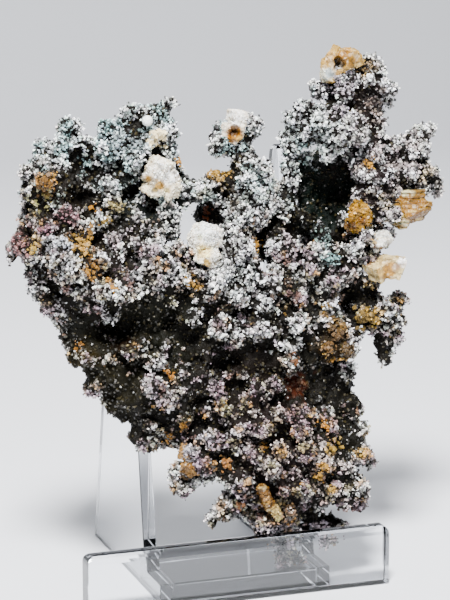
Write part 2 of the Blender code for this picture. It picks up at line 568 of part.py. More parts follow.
def round_lip_corners(item):
    """Round the two upper corners of the lip, seen from the front."""
    bm = bmesh.new()
    bm.from_mesh(item.data)
    half = LIP_WIDTH / 2 * MM
    top = LIP_HEIGHT * MM
    corners = []
    for edge in bm.edges:
        ends = [vert.co for vert in edge.verts]
        if all(abs(co.z - top) < 1e-6 and abs(abs(co.x) - half) < 1e-6 for co in ends):
            corners.append(edge)
    bmesh.ops.bevel(bm, geom=corners, offset=LIP_CORNER * MM, offset_type="OFFSET", segments=4,
                    profile=0.5, affect="EDGES", clamp_overlap=True)
    bm.to_mesh(item.data)
    bm.free()


def easel(material):
    lip_outline = box_outline(-LIP_THICK / 2, LIP_THICK / 2, LIP_HEIGHT)
    lip = flat_solid("front_lip", lip_outline, LIP_WIDTH, 0.0, material)
    round_lip_corners(lip)
    round_edges(lip, 2)
    shelf_width = PLATE_SPACING - PLATE_THICK - 2 * GAP
    shelf = flat_solid("shelf", box_outline(LIP_THICK / 2 + GAP, SHELF_BACK, SHELF_THICK), shelf_width,
                       PLATE_SHIFT, material)
    round_edges(shelf, 1)
    for name, side in (("left_side_plate", -1), ("right_side_plate", 1)):
        middle = PLATE_SHIFT + side * PLATE_SPACING / 2
        plate = flat_solid(name, plate_outline(), PLATE_THICK, middle, material)
        round_edges(plate, 1)


def easel_room():
    """What the specimen keeps clear of: the lip, the shelf and both side plates."""
    lip = box_outline(-LIP_THICK / 2, LIP_THICK / 2, LIP_HEIGHT)
    shelf = box_outline(LIP_THICK / 2, SHELF_BACK, SHELF_THICK)
    room = [
        flat_solid("lip_room", lip, LIP_WIDTH, 0.0, None, GAP, CUTTERS),
        flat_solid("shelf_room", shelf, PLATE_SPACING, PLATE_SHIFT, None, GAP, CUTTERS),
    ]
    for side in (-1, 1):
        middle = PLATE_SHIFT + side * PLATE_SPACING / 2
        room.append(flat_solid("plate_room", plate_outline(), PLATE_THICK, middle, None, GAP, CUTTERS))
    return room


def build():
    clear_scene()
    copper_finish = principled("crusted_copper", (0.36, 0.33, 0.30), 0.85)
    cream_finish = principled("cream_calcite", (0.78, 0.66, 0.48), 0.45)
    orange_finish = principled("orange_calcite", (0.62, 0.36, 0.12), 0.5)
    acrylic_finish = principled("clear_acrylic", (0.80, 0.84, 0.92), 0.06, 0.0, 0.9, 1.49)
    easel(acrylic_finish)
    copper = copper_mass(copper_finish)
    for room in easel_room():
        boolean(copper, room, "DIFFERENCE")
        hide_cutter(room)
    for name in CRYSTALS:
        crystal_group(name, orange_finish if name in ORANGE_CRYSTALS else cream_finish)
        pocket = crystal_group(name, None, GAP, CUTTERS)
        pocket.name = name + "_pocket"
        boolean(copper, pocket, "DIFFERENCE", "MANIFOLD")   # the exact solver fails on the folded skin
        hide_cutter(pocket)
    keep_largest_shell(copper)
    copper.data.name = "native_copper"


build()
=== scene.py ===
"""The looks of a native copper specimen that leans on a clear acrylic easel."""

import math

import bmesh
import bpy
import numpy as np
from mathutils import Matrix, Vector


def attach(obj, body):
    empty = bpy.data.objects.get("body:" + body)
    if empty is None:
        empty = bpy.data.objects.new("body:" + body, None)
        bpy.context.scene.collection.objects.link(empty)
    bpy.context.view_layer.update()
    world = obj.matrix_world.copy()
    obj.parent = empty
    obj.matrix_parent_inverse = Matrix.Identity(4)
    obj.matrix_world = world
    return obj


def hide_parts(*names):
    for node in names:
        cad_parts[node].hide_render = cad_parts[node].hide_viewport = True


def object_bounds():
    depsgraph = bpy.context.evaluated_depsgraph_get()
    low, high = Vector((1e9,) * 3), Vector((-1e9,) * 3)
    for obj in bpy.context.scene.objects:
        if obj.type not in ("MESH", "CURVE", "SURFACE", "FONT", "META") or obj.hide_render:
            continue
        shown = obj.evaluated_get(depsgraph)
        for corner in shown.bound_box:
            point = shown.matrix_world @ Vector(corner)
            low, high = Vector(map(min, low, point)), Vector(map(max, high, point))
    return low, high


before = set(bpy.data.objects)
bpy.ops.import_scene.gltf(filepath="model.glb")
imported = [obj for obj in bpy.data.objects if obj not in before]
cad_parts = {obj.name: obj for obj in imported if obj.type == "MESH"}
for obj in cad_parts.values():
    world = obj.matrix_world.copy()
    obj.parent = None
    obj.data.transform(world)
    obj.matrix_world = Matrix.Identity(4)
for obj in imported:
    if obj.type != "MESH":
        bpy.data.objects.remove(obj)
cad_low, cad_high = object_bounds()
MM = 0.001

# The picture: the camera of the photograph, a pale floor that runs up behind, and soft studio light.
# The lens is worked out from the distance at which the easel's edges line up with the photograph.

TURN = math.radians(-19.0)
DOWN = math.radians(12.0)
DISTANCE = 0.700              # metres
LOOK_AT = np.array([-5.7, -3.5, 97.0]) * MM
FILM_WIDTH = 36.0             # millimetres
LENS = 137.9
BACK = np.array([math.sin(TURN) * math.cos(DOWN), -math.cos(TURN) * math.cos(DOWN), math.sin(DOWN)])
RIGHT = np.array([math.cos(TURN), math.sin(TURN), 0.0])
UP = np.cross(BACK, RIGHT)
EYE = LOOK_AT + BACK * DISTANCE


def linear(code):
    """An sRGB hex colour as linear numbers with alpha."""
    parts = [int(code[i:i + 2], 16) / 255 for i in (1, 3, 5)]
    return tuple(c / 12.92 if c <= 0.04045 else ((c + 0.055) / 1.055) ** 2.4 for c in parts) + (1.0,)


def blank_material(name, inputs):
    """A material with nothing but its output and one Principled shader, whose inputs are set by name."""
    material = bpy.data.materials.new(name)
    material.use_nodes = True
    tree = material.node_tree
    tree.nodes.clear()
    shader = tree.nodes.new("ShaderNodeBsdfPrincipled")
    output = tree.nodes.new("ShaderNodeOutputMaterial")
    tree.links.new(shader.outputs[0], output.inputs["Surface"])
    for title, value in inputs.items():
        shader.inputs[title].default_value = value
    return material, tree, shader


def stand_at(item, side, up, back, place):
    """Turn and place a camera or lamp by its three axes and its place."""
    item.matrix_world = Matrix([[side[i], up[i], back[i], place[i]] for i in range(3)] + [[0, 0, 0, 1]])


def into_scene(name, data):
    """A new object with the given data, linked into the scene."""
    item = bpy.data.objects.new(name, data)
    bpy.context.scene.collection.objects.link(item)
    return item


camera_data = bpy.data.cameras.new("camera")
camera_data.sensor_width = FILM_WIDTH
camera_data.lens = LENS
camera_data.clip_start = 0.01
camera_data.clip_end = 20.0
camera = into_scene("camera", camera_data)
stand_at(camera, RIGHT, UP, BACK, EYE)
bpy.context.scene.camera = camera


def sweep_floor():
    """A floor, in metres, that bends up into a wall: a line, a quarter circle and a line."""
    half_width, front, bend_start, bend, top = 2.2, -2.0, 0.9, 0.7, 2.4
    angles = np.linspace(0, math.pi / 2, 17)
    y = np.concatenate([[front], bend_start + bend * np.sin(angles), [bend_start + bend]])
    z = np.concatenate([[0.0], bend * (1 - np.cos(angles)), [top]])
    x = np.array([-half_width, half_width])
    points = np.stack([np.repeat(x, len(y)), np.tile(y, 2), np.tile(z, 2)], axis=1)
    step = np.arange(len(y) - 1)
    faces = np.stack([step, step + len(y), step + len(y) + 1, step + 1], axis=1)
    mesh = bpy.data.meshes.new("floor")
    mesh.from_pydata(points.tolist(), [], faces.tolist())
    mesh.shade_smooth()
    return mesh


# Matt paper, which takes soft shadows and gives no glint.
paper = blank_material("pale_studio_paper", {"Base Color": linear("#D5D7DC"), "Roughness": 0.9})[0]
floor = into_scene("floor", sweep_floor())
floor.data.materials.append(paper)


def area_light(name, place, aim, size, power, colour):
    """A soft square lamp at a place, turned towards its aim; sizes in metres, power in watts."""
    data = bpy.data.lights.new(name, "AREA")
    data.size = size
    data.energy = power
    data.color = linear(colour)[:3]
    lamp = into_scene(name, data)
    back = np.array(place, float) - np.array(aim, float)
    back /= np.linalg.norm(back)
    side = np.cross([0.0, 0.0, 1.0], back)
    side /= np.linalg.norm(side)
    stand_at(lamp, side, np.cross(back, side), back, place)


area_light("key", (-0.28, -0.62, 1.12), (0.0, 0.02, 0.09), 0.26, 84.0, "#FFFFFF")
area_light("fill", (0.80, -0.75, 0.35), (0.0, 0.02, 0.08), 0.6, 1.6, "#EEF2FF")
area_light("top", (0.10, 0.35, 1.10), (0.0, 0.02, 0.08), 0.5, 7.0, "#FFFFFF")
world = bpy.data.worlds.new("studio")
world.use_nodes = True
world.node_tree.nodes["Background"].inputs["Color"].default_value = linear("#C9D0DA")
world.node_tree.nodes["Background"].inputs["Strength"].default_value = 0.2
bpy.context.scene.world = world


# The copper: one grown mass of native copper, dark brown to green-black with age, whose outside is
# a crowd of knobs like popcorn. Lumps set all over the solid, each with smaller knobs budding from
# it, are melted into one skin with a core that lies a little under the solid's surface.

LUMP_COUNT = 3000
LUMP_RADIUS = (1.0, 2.8)      # millimetres
BUDS_PER_LUMP = 9
BUD_SHARE = (0.22, 0.5)       # a bud's half size as a share of its lump's radius
BUD_SEAT = 0.9                # how far out on the lump a bud's centre sits
BUD_OUTWARD = 0.7             # how strongly buds keep to their lump's outer side
MOST_SMALL = 1.5              # power that makes small lumps commoner than large ones
BLOCK_PRESS = 0.25            # how far a calcite block is pressed together along one diagonal
UNEVEN = (0.7, 1.15)          # how much longer or shorter a lump or bud is along each of its axes
SINK = 1.22                   # how deep a lump's centre lies, as a share of its radius
CORE_DEPTH = (0.25, 1.7)      # how far the core lies under the solid's surface, thin to thick parts
CORE_SHARE = 0.5              # and as a share of half the thickness there
OPPOSITE = -0.3               # two surfaces face opposite ways when their normals' cosine is under this
ROWS_AT_ONCE = 400            # points compared with all the others in one step, to save memory
SKIN_STEP = 0.6               # size of the skin's cells, millimetres
SKIN_TRIANGLES = 180000

chance = np.random.default_rng(11)


def arrays(mesh):
    """Points and triangles of a mesh, in its own units."""
    mesh.calc_loop_triangles()
    points = np.empty(len(mesh.vertices) * 3, np.float32)
    mesh.vertices.foreach_get("co", points)
    faces = np.empty(len(mesh.loop_triangles) * 3, np.int32)
    mesh.loop_triangles.foreach_get("vertices", faces)
    return points.reshape(-1, 3).astype(float), faces.reshape(-1, 3)


def taken(bm):
    """The points and triangles of a working mesh, which is then freed."""
    bmesh.ops.triangulate(bm, faces=bm.faces)
    mesh = bpy.data.meshes.new("work")
    bm.to_mesh(mesh)
    bm.free()
    points, faces = arrays(mesh)
    bpy.data.meshes.remove(mesh)
    return points, faces


def node_shape(name):
    """A CAD node's points in millimetres and its triangles, with the loose corners merged."""
    bm = bmesh.new()
    bm.from_mesh(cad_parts[name].data)
    bmesh.ops.remove_doubles(bm, verts=bm.verts, dist=1e-6)
    points, faces = taken(bm)
    return points / MM, faces


def face_normals(points, faces):
    """Each triangle's normal, twice its area long."""
    a, b, c = (points[faces[:, i]] for i in range(3))
    return np.cross(b - a, c - a)


def point_normals(points, faces):
    """Unit normals at the points: the sum of the normals of the triangles round each."""
    normals = face_normals(points, faces)
    total = np.zeros_like(points)
    for corner in range(3):
        for axis in range(3):
            total[:, axis] += np.bincount(faces[:, corner], normals[:, axis], len(points))
    return total / np.maximum(np.linalg.norm(total, axis=1, keepdims=True), 1e-12)


def scatter(points, faces, count):
    """Places spread evenly over the triangles by area, with the normal at each."""
    normals = face_normals(points, faces)
    area = np.linalg.norm(normals, axis=1)
    chosen = np.searchsorted(np.cumsum(area) / area.sum(), np.sort(chance.random(count)))
    u, v = chance.random((2, count, 1))
    flip = u + v > 1
    u, v = np.where(flip, 1 - u, u), np.where(flip, 1 - v, v)
    a, b, c = (points[faces[chosen, i]] for i in range(3))
    return a + (b - a) * u + (c - a) * v, normals[chosen] / area[chosen, None]


def lattice(cells, seed):
    """A random number for each cell of a lattice: a sine hash of its whole-number place."""
    mixed = cells @ np.array([127.1, 311.7, 74.7]) + seed * 17.17
    return np.modf(np.abs(np.sin(mixed) * 43758.5453))[0]


def cloud(points, size, seed):
    """Smooth noise from 0 to 1: random numbers at lattice corners, eased between them."""
    scaled = points / size
    cell = np.floor(scaled)
    part = scaled - cell
    part = part * part * (3 - 2 * part)
    total = 0.0
    for corner in np.ndindex(2, 2, 2):
        weight = np.prod(np.where(np.array(corner) == 1, part, 1 - part), axis=1)
        total = total + weight * lattice(cell + corner, seed)
    return total


def two_clouds(points, coarse, fine, seed):
    """A coarse and a fine smooth noise, half and half."""
    return 0.5 * cloud(points, coarse, seed) + 0.5 * cloud(points, fine, seed + 1)


def ball(subdivisions):
    """Points and triangles of a unit ball."""
    bm = bmesh.new()
    bmesh.ops.create_icosphere(bm, subdivisions=subdivisions, radius=1.0)
    return taken(bm)


def calcite_block():
    """A calcite cleavage block: a cube of half size one, pressed together along one diagonal."""
    bm = bmesh.new()
    bmesh.ops.create_cube(bm, size=2.0)
    points, faces = taken(bm)
    diagonal = np.ones(3) / math.sqrt(3)
    return points - BLOCK_PRESS * (points @ diagonal)[:, None] * diagonal, faces


def copies(points, faces, centres, sizes, turns=None):
    """Many copies of one small shape as one set of points and triangles, each turned, sized and placed."""
    shapes = points[None] * sizes.reshape(len(centres), 1, -1)
    if turns is not None:
        shapes = shapes @ turns
    shapes = shapes + centres[:, None]
    many = faces[None] + (np.arange(len(centres)) * len(points))[:, None, None]
    return shapes.reshape(-1, 3), many.reshape(-1, 3)


def make_mesh(name, points, faces):
    """A mesh in metres from points in millimetres."""
    mesh = bpy.data.meshes.new(name)
    mesh.vertices.add(len(points))
    mesh.vertices.foreach_set("co", (points * MM).astype(np.float32).ravel())
    mesh.loops.add(faces.size)
    mesh.loops.foreach_set("vertex_index", faces.astype(np.int32).ravel())
    mesh.polygons.add(len(faces))
    mesh.polygons.foreach_set("loop_start", np.arange(0, faces.size, 3, dtype=np.int32))
    mesh.update(calc_edges=True)
    return mesh


def add_piece(name, mesh, material, replaced=()):
    """Put a finished mesh into the scene on the one body and the nodes it stands for."""
    piece = into_scene(name, mesh)
    mesh.materials.append(material)
    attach(piece, "root")
    if replaced:
        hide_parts(*replaced)


def reshaped(points, faces, kind, **settings):
    """The points and triangles after one modifier of the given kind and settings."""
    work = into_scene("work", make_mesh("work", points, faces))
    modifier = work.modifiers.new("work", kind)
    for name, value in settings.items():
        setattr(modifier, name, value)
    graph = bpy.context.evaluated_depsgraph_get()
    mesh = bpy.data.meshes.new_from_object(work.evaluated_get(graph))
    bpy.data.objects.remove(work)
    points, faces = arrays(mesh)
    return points / MM, faces


def skinned(points, faces, step):
    """One skin round overlapping shapes, in cells of the given size: its biggest connected part."""
    points, faces = reshaped(points, faces, "REMESH", mode="VOXEL", voxel_size=step * MM)
    label = np.arange(len(points))    # the lowest point number that each point is known to hang with
    while True:
        lowest = label.copy()
        for corner in range(3):
            np.minimum.at(lowest, faces[:, corner], label[faces].min(axis=1))
        lowest = lowest[lowest]
        if np.array_equal(lowest, label):
            break
        label = lowest
    biggest = np.bincount(label).argmax()
    keep = label[faces[:, 0]] == biggest
    used, renumbered = np.unique(faces[keep], return_inverse=True)
    return points[used], renumbered.reshape(-1, 3)


def thinned(points, faces, count):
    """The same skin with no more than the given number of triangles."""
    return reshaped(points, faces, "DECIMATE", ratio=min(1.0, count / len(faces)))


def half_thickness(points, normals):
    """Half the distance from each point to the nearest one that faces the other way."""
    result = np.empty(len(points))
    for start in range(0, len(points), ROWS_AT_ONCE):
        block = slice(start, start + ROWS_AT_ONCE)
        gap = np.linalg.norm(points[block, None] - points[None], axis=2)
        opposite = normals[block] @ normals.T < OPPOSITE
        result[block] = np.where(opposite, gap, np.inf).min(axis=1) / 2
    return result


def unit(vectors):
    """The rows scaled to length one."""
    return vectors / np.linalg.norm(vectors, axis=1, keepdims=True)


def random_directions(count):
    """Even directions all round: normal numbers scaled to length one."""
    return unit(chance.normal(size=(count, 3)))


def between(low_high, shares):
    """Values from low to high for shares from 0 to 1."""
    return low_high[0] + (low_high[1] - low_high[0]) * shares


def random_turns(count):
    """Rotation matrices of random unit quaternions."""
    w, x, y, z = chance.normal(size=(4, count))
    size = np.sqrt(w * w + x * x + y * y + z * z)
    w, x, y, z = w / size, x / size, y / size, z / size
    rows = [1 - 2 * (y * y + z * z), 2 * (x * y - z * w), 2 * (x * z + y * w),
            2 * (x * y + z * w), 1 - 2 * (x * x + z * z), 2 * (y * z - x * w),
            2 * (x * z - y * w), 2 * (y * z + x * w), 1 - 2 * (x * x + y * y)]
    return np.stack(rows, axis=1).reshape(-1, 3, 3)


def joined(*shapes):
    """Several sets of points and triangles as one."""
    starts = np.cumsum([0] + [len(points) for points, _ in shapes])
    return (np.concatenate([points for points, _ in shapes]),
            np.concatenate([faces + start for start, (_, faces) in zip(starts, shapes)]))


def budding_lumps(points, faces):
    """Uneven lumps sunk into the solid, and the blocky buds on their outer sides."""
    centres, outward = scatter(points, faces, LUMP_COUNT)
    radii = between(LUMP_RADIUS, chance.random(LUMP_COUNT) ** MOST_SMALL)
    centres = centres - outward * (radii * SINK)[:, None]
    lumps = np.repeat(np.arange(LUMP_COUNT), BUDS_PER_LUMP)
    sides = unit(random_directions(len(lumps)) + outward[lumps] * BUD_OUTWARD)
    bud_centres = centres[lumps] + sides * (radii[lumps] * BUD_SEAT)[:, None]
    bud_sizes = radii[lumps] * between(BUD_SHARE, chance.random(len(lumps)))
    lump_sizes = radii[:, None] * chance.uniform(*UNEVEN, (len(radii), 3))
    bud_sizes = bud_sizes[:, None] * chance.uniform(*UNEVEN, (len(lumps), 3))
    return joined(copies(*ball(1), centres, lump_sizes, random_turns(len(radii))),
                  copies(*calcite_block(), bud_centres, bud_sizes, random_turns(len(lumps))))


# Places are read on a sheet square to the line of sight, in the sheet's millimetres across and up.
SHEET_ORIGIN = np.array([-12.6, -19.0, 17.5])   # where both are nought
SHEET_SCALE = 0.96            # true millimetres to one of the sheet's

# Small lumps that join the foot's left lobe to the body above it: across, height and radius.
BRIDGE = ((0.6, 32.2, 2.4), (3.2, 31.2, 2.9), (6.2, 29.6, 2.8), (4.2, 27.6, 2.2), (1.6, 29.4, 1.8))
BRIDGE_REACH = 6.0            # the copper this near on the sheet gives the lumps their depth
BRIDGE_CORE = 0.7             # how big their cores are, as a share of the lumps


def on_sheet(points):
    """Across and height on the sheet of where the sight line to each point crosses it."""
    sight = points - EYE / MM
    reach = ((SHEET_ORIGIN - EYE / MM) @ BACK) / (sight @ BACK)
    offset = (EYE / MM + sight * reach[:, None] - SHEET_ORIGIN) / SHEET_SCALE
    return np.stack([offset @ RIGHT, offset @ UP], axis=1)


def off_place(places, across, height):
    """How far each of the sheet's places lies from the given one."""
    return np.hypot(places[:, 0] - across, places[:, 1] - height)


def bridge(points, share):
    """Balls at the bridge's places, at the middle depth of the copper round them, sized by a share."""
    shapes = []
    places = on_sheet(points)
    for across, height, radius in BRIDGE:
        near = off_place(places, across, height) < BRIDGE_REACH
        on_plane = SHEET_ORIGIN + (RIGHT * across + UP * height) * SHEET_SCALE
        sight = on_plane - EYE / MM
        inward = np.median(points[near] @ BACK) - (EYE / MM) @ BACK
        centre = EYE / MM + sight * (inward / (sight @ BACK))
        shapes.append((ball(2)[0] * radius * share + centre, ball(2)[1]))
    return joined(*shapes)


def in_box(points):
    """The points, with any that lie past the solids' common box moved back onto it."""
    return np.clip(points, np.array(cad_low) / MM, np.array(cad_high) / MM)


core_points, core_faces = node_shape("native_copper")
core_normals = point_normals(core_points, core_faces)
depth = np.clip(half_thickness(core_points, core_normals) * CORE_SHARE, *CORE_DEPTH)
core = core_points - core_normals * depth[:, None]
lumps = budding_lumps(*joined((core_points, core_faces), bridge(core_points, 1.0)))
points, faces = skinned(*joined((core, core_faces), bridge(core_points, BRIDGE_CORE), lumps), SKIN_STEP)
points, faces = thinned(points, faces, SKIN_TRIANGLES)
points = in_box(points)
normals = point_normals(points, faces)


def smoothed(values, faces, rounds):
    """Values at the points, each averaged with its neighbours along the edges, again and again."""
    start = faces.T.ravel()
    end = np.roll(faces, -1, axis=1).T.ravel()
    count = np.bincount(start, minlength=len(values))
    for _ in range(rounds):
        columns = [np.bincount(start, values[end, axis], len(values)) for axis in range(values.shape[1])]
        values = 0.5 * values + 0.5 * np.stack(columns, axis=1) / np.maximum(count, 1)[:, None]
    return values


def eased(values, low, high):
    """From 0 at low to 1 at high, easing in and out."""
    share = np.clip((values - low) / (high - low), 0, 1)
    return share * share * (3 - 2 * share)


KNOB_ROUNDS = 25              # rounds of smoothing that level the knobs
LUMP_ROUNDS = 160             # and the lumps

# How far each point stands out from the skin with its knobs levelled, and with its lumps levelled.
proud = ((points - smoothed(points, faces, KNOB_ROUNDS)) * normals).sum(axis=1)
wide_proud = ((points - smoothed(points, faces, LUMP_ROUNDS)) * normals).sum(axis=1)

# Where the crust is thick, where the copper lies bare, and how both are coloured. Each place is read
# on the sheet and is set on the nearest surface there as a soft round dab.

ON_PLACE = 1.0                # a point this near on the sheet counts as on the place, millimetres
OFF_PLACE_COST = 40           # how much nearer to the eye a point has to be for each millimetre past that
RAGGED_SIZES = (2.1, 0.9)     # patch sizes of the noise that makes a dab's edge ragged, millimetres
DAB_MIDDLE = 2.2              # a dab's strength at its centre; over 1 counts as 1, so its middle is even
DAB_FALL = (0.6, 2.4)         # how fast it falls off: everywhere, and more where the noise is high

sheet_places = on_sheet(points)
eye_distance = np.linalg.norm(points - EYE / MM, axis=1)


def seat(across, height):
    """The nearest surface point to the eye at a place on the sheet."""
    off = off_place(sheet_places, across, height)
    return points[np.argmin(eye_distance + OFF_PLACE_COST * np.maximum(off - ON_PLACE, 0))]


ragged = two_clouds(points, *RAGGED_SIZES, 8)


def line(base_gain, values):
    """A straight line over the values: a base plus a gain times each value."""
    return base_gain[0] + base_gain[1] * values


def dab_strength(across, height, radius):
    """How strongly a dab reaches each point: full in the middle, fading out round its radius."""
    off = np.linalg.norm(points - seat(across, height), axis=1) / radius
    return eased(DAB_MIDDLE - off * line(DAB_FALL, ragged), 0, 1)


def plain(code, count):
    """One colour as a row for each of the given number of places."""
    return np.tile(np.array(linear(code)[:3]), (count, 1))


def towards(colours, code, shares):
    """Colours moved towards one colour by a share at each place."""
    return colours + (np.array(linear(code)[:3]) - colours) * shares[:, None]


def dabbed(colours, dabs):
    """The points' colours with every dab laid over them in turn."""
    for across, height, radius, code in dabs:
        colours = towards(colours, code, dab_strength(across, height, radius))
    return colours


def measured(base, dabs):
    """A number for each point: the base with every dab laid over it in turn."""
    values = np.full(len(points), base)
    for across, height, radius, value in dabs:
        values = values + (value - values) * dab_strength(across, height, radius)
    return values


# The crust's own colour, then the colours of its regions, which lie under its faint stains, and of
# its small spots, which lie over them: across, height, radius and colour.
PALE = "#D9D8D3"
REGION_DABS = (
    (-24, 132, 16, "#D5DEDC"), (-33, 136, 8, "#AFC0C2"), (-46, 132, 8, "#CFD8D6"),
    (26, 138, 12, "#D3DCD8"), (-54, 112, 12, "#BDB4B2"), (-55, 107, 7.5, "#8E5E68"),
    (-40, 102, 14, "#D2CFC6"), (8, 110, 12, "#F4F6F4"), (0, 95, 10, "#FAFBF8"), (11, 114, 8, "#FAFBF9"),
    (12, 90, 10, "#E4E7E6"), (40, 149, 10, "#A69CA2"), (55, 125, 16, "#B8ABA8"), (30, 95, 10, "#D8D6D0"),
    (54, 84, 8, "#DADDDB"), (12, 52, 14, "#BDB0AC"), (25, 40, 16, "#C0B0A8"), (36, 30, 12, "#C9BAB2"),
    (-18, 55, 10, "#D6D3D2"), (-5, 38, 10, "#C8C0C4"), (17, 10, 9, "#D8CCD0"), (-40, 70, 12, "#C2BEB2"),
)
SPOT_DABS = (
    (47, 145, 7, "#7C6C64"), (32, 105, 5, "#8FA6A2"), (35, 100, 4, "#7FA29F"), (-56, 122, 4.5, "#A06E1A"),
    (-52, 124, 2.5, "#B08028"), (-44, 103.5, 4, "#A07A2C"), (-41, 95, 4, "#80581C"),
    (-61.5, 104.5, 6, "#7C5654"), (-60, 104, 3, "#A58A58"), (-57, 115.5, 4.5, "#9E945E"),
    (-48, 112, 4, "#8A6468"), (-51, 104, 4.5, "#C6C8CC"), (-39, 114, 1.8, "#986410"),
    (-33, 113, 3.6, "#9A8A5C"), (0, 126, 5, "#947028"), (-4, 111.5, 3, "#6E4818"),
    (-8.5, 90.5, 3.5, "#A8895A"), (12, 103, 3, "#8E6418"), (47, 128.5, 2.4, "#9E7018"),
    (47, 78.5, 5, "#B08A30"), (37, 74, 6, "#A97F36"), (34, 67, 5.5, "#9A7430"), (39, 66, 5, "#A47A34"),
    (-16.5, 61, 2, "#8E5C14"), (-16.5, 41, 2.2, "#946628"), (-11, 44, 2, "#9A7030"),
    (2, 32.5, 4, "#AA7A2C"), (15, 38.5, 2.4, "#A47024"), (32.5, 45.5, 3, "#9A661C"),
    (33.5, 31.5, 2.6, "#AE7E34"), (31, 28, 2.6, "#A87830"), (36, 24.5, 2.4, "#B08638"),
    (20.5, 36, 2.8, "#B58A50"), (36.5, 38, 3.4, "#A5854E"), (44, 37, 2.8, "#B58F55"),
    (17, 16, 3.4, "#BF9468"), (46, 158, 4, "#B09060"), (-46, 70.5, 2.6, "#8E5C10"),
    (-42, 79, 3, "#C08F52"), (-31, 61, 2, "#B98D62"), (46, 88, 4, "#B99A62"), (64, 125, 4, "#D5C2A2"),
    (4, 68, 2.2, "#7A4A20"), (-38.8, 56.8, 1.9, "#A88660"), (-32.8, 66.6, 1.5, "#B08E5C"),
    (32, 11, 5, "#BFAEB6"),
)

# The same for the copper where it lies bare.
GROUND = "#0B0906"
GROUND_DABS = (
    # The green-black dab at (34, 120), in the hollow under the right tower's ledge, is partly the copper's
    # own colour and partly painted shade.
    (-30, 75, 22, "#0A0A05"), (-40, 60, 16, "#0F0D05"), (34, 120, 14, "#050C08"), (25, 62, 14, "#0B0A05"),
    (10, 58, 16, "#0D0906"), (20, 35, 18, "#100A08"), (45, 125, 14, "#120C0A"), (46, 148, 10, "#120D0B"),
    (38, 70, 8, "#1A1206"), (25, 57.5, 5, "#301206"), (-44, 66, 5, "#1A1404"), (-30, 72, 4, "#180E06"),
    (-45, 100, 20, "#0F0B07"), (-22, 120, 14, "#080B09"), (40, 42, 12, "#0B0A06"),
)

# How thick the crust lies, from 0 on bare copper to about 1: across, height, radius and thickness.
COVER = 0.6
COVER_DABS = (
    (-26, 130, 16, 0.76), (-46, 130, 10, 0.62), (26, 137, 10, 0.95), (-52, 112, 12, 0.62),
    (-44, 96, 12, 0.7), (-22, 98, 12, 0.8), (5, 108, 10, 1.1), (2, 93, 11, 1.2), (20, 94, 12, 0.75),
    # The nearly bare dab at (34, 120), in the hollow under the right tower's ledge, is partly bare copper
    # and partly painted shade.
    (38, 96, 8, 0.7), (40, 148, 12, 0.6), (58, 128, 14, 0.66), (54, 84, 9, 0.75), (34, 120, 13, 0.04),
    (29, 112, 8, 0.06), (-46, 120, 5, 0.12), (-29, 121, 5, 0.1), (-27, 106, 3, 0.35), (13, 106, 4, 0.1),
    (-7, 112, 5, 0.2), (-15, 78, 9, 0.08), (-24, 79, 8, 0.1), (-33, 74, 9, 0.16), (-45, 74, 8, 0.12),
    (-36, 64, 10, 0.1), (-44, 62, 7, 0.08), (-22, 70, 5, 0.2), (-30, 52, 8, 0.06), (-30, 46, 8, 0.05),
    (43, 86, 5, 0.12), (48, 68, 5, 0.12), (3, 78, 8, 0.5), (14, 76, 7, 0.5), (24, 56, 10, 0.02),
    (28, 66, 6, 0.14), (33, 58, 8, 0.06), (10, 64, 8, 0.14), (-8, 64, 7, 0.16), (-5, 72, 6, 0.3),
    (-20, 54, 7, 0.6), (-9, 52, 6, 0.3), (5, 55, 7, 0.5), (12, 46, 10, 0.54), (26, 44, 10, 0.54),
    (20, 32, 12, 0.6), (36, 30, 9, 0.72), (-4, 40, 7, 0.66), (-13, 28, 5, 0.66), (40, 44, 6, 0.16),
    (42, 56, 6, 0.04), (4, 24, 6, 0.5), (3.5, 30, 5, 0.4), (12, 24, 5, 0.2), (18, 15, 8, 0.62),
    (30, 14, 6, 0.35), (36, 17, 5, 0.1), (22, 4, 5, 0.95), (17, 12, 8, 1.0), (48, 140, 6, 0.42),
    (11, 114, 8, 1.25), (55, 129, 6, 0.9), (-51, 106, 6, 0.8), (-44.6, 67.6, 2.2, 0.85),
    (-42.3, 65.2, 2.4, 0.9), (-39.2, 65.6, 2.2, 0.8), (-36.4, 65, 1.8, 0.7), (-32.6, 64.6, 1.9, 0.8),
    (-30, 67.2, 2.4, 0.85), (-26.5, 67, 2.4, 0.85), (-24, 66.5, 2, 0.75), (-19.3, 65.2, 2.1, 0.85),
    (-22.3, 61, 2, 0.75), (-38.8, 56.8, 1.9, 0.8), (37.6, 74.5, 5, 0.15), (37.6, 69.5, 4.5, 0.15),
    (34.6, 65.2, 2.2, 0.7), (32, 12.7, 3, 0.9), (32, 6.6, 2.5, 0.85), (38.5, 11.2, 2.2, 0.8),
)

# Shallow hollows whose knobs are painted nearly as lit as the knobs round them, instead of darkened by the
# painted shade: across, height, radius.
LIT_HOLLOWS = (
    (55, 129, 6), (-51, 107, 6), (-46, 98, 5), (17, 12, 7), (-30, 100, 6), (-45, 119, 3), (28, 90, 5),
)

# Faint stains, each as patch size in millimetres, seed, how rare, colour, strength, and the heights
# on the sheet over which it comes in. The blue-green one fades out towards the right.
COOL = "#86B4B4"
COOL_SIDE = (37, 27)          # across the sheet, from none of it to all of it
STAINS = (
    (4.6, 21, 0.46, "#80606F", 0.8, 130, 95), (3.4, 22, 0.60, "#857A44", 0.8, 135, 110),
    (5.0, 23, 0.42, COOL, 0.65, 100, 128), (2.8, 24, 0.62, "#6A4632", 0.8, 135, 110),
    (2.4, 25, 0.68, "#A0701E", 0.8, 130, 105), (3.0, 26, 0.54, "#FFFFFF", 0.7, 40, 90),
)
STAIN_EDGE = 6                # how fast a stain comes in where its noise passes its rareness

# The snow-white middle, which the stains leave nearly clean: across, height and radius.
WHITE_PLACES = ((4, 98, 13), (10, 114, 8))
WHITE_CLEAN = 0.85            # the share of each stain that they keep off

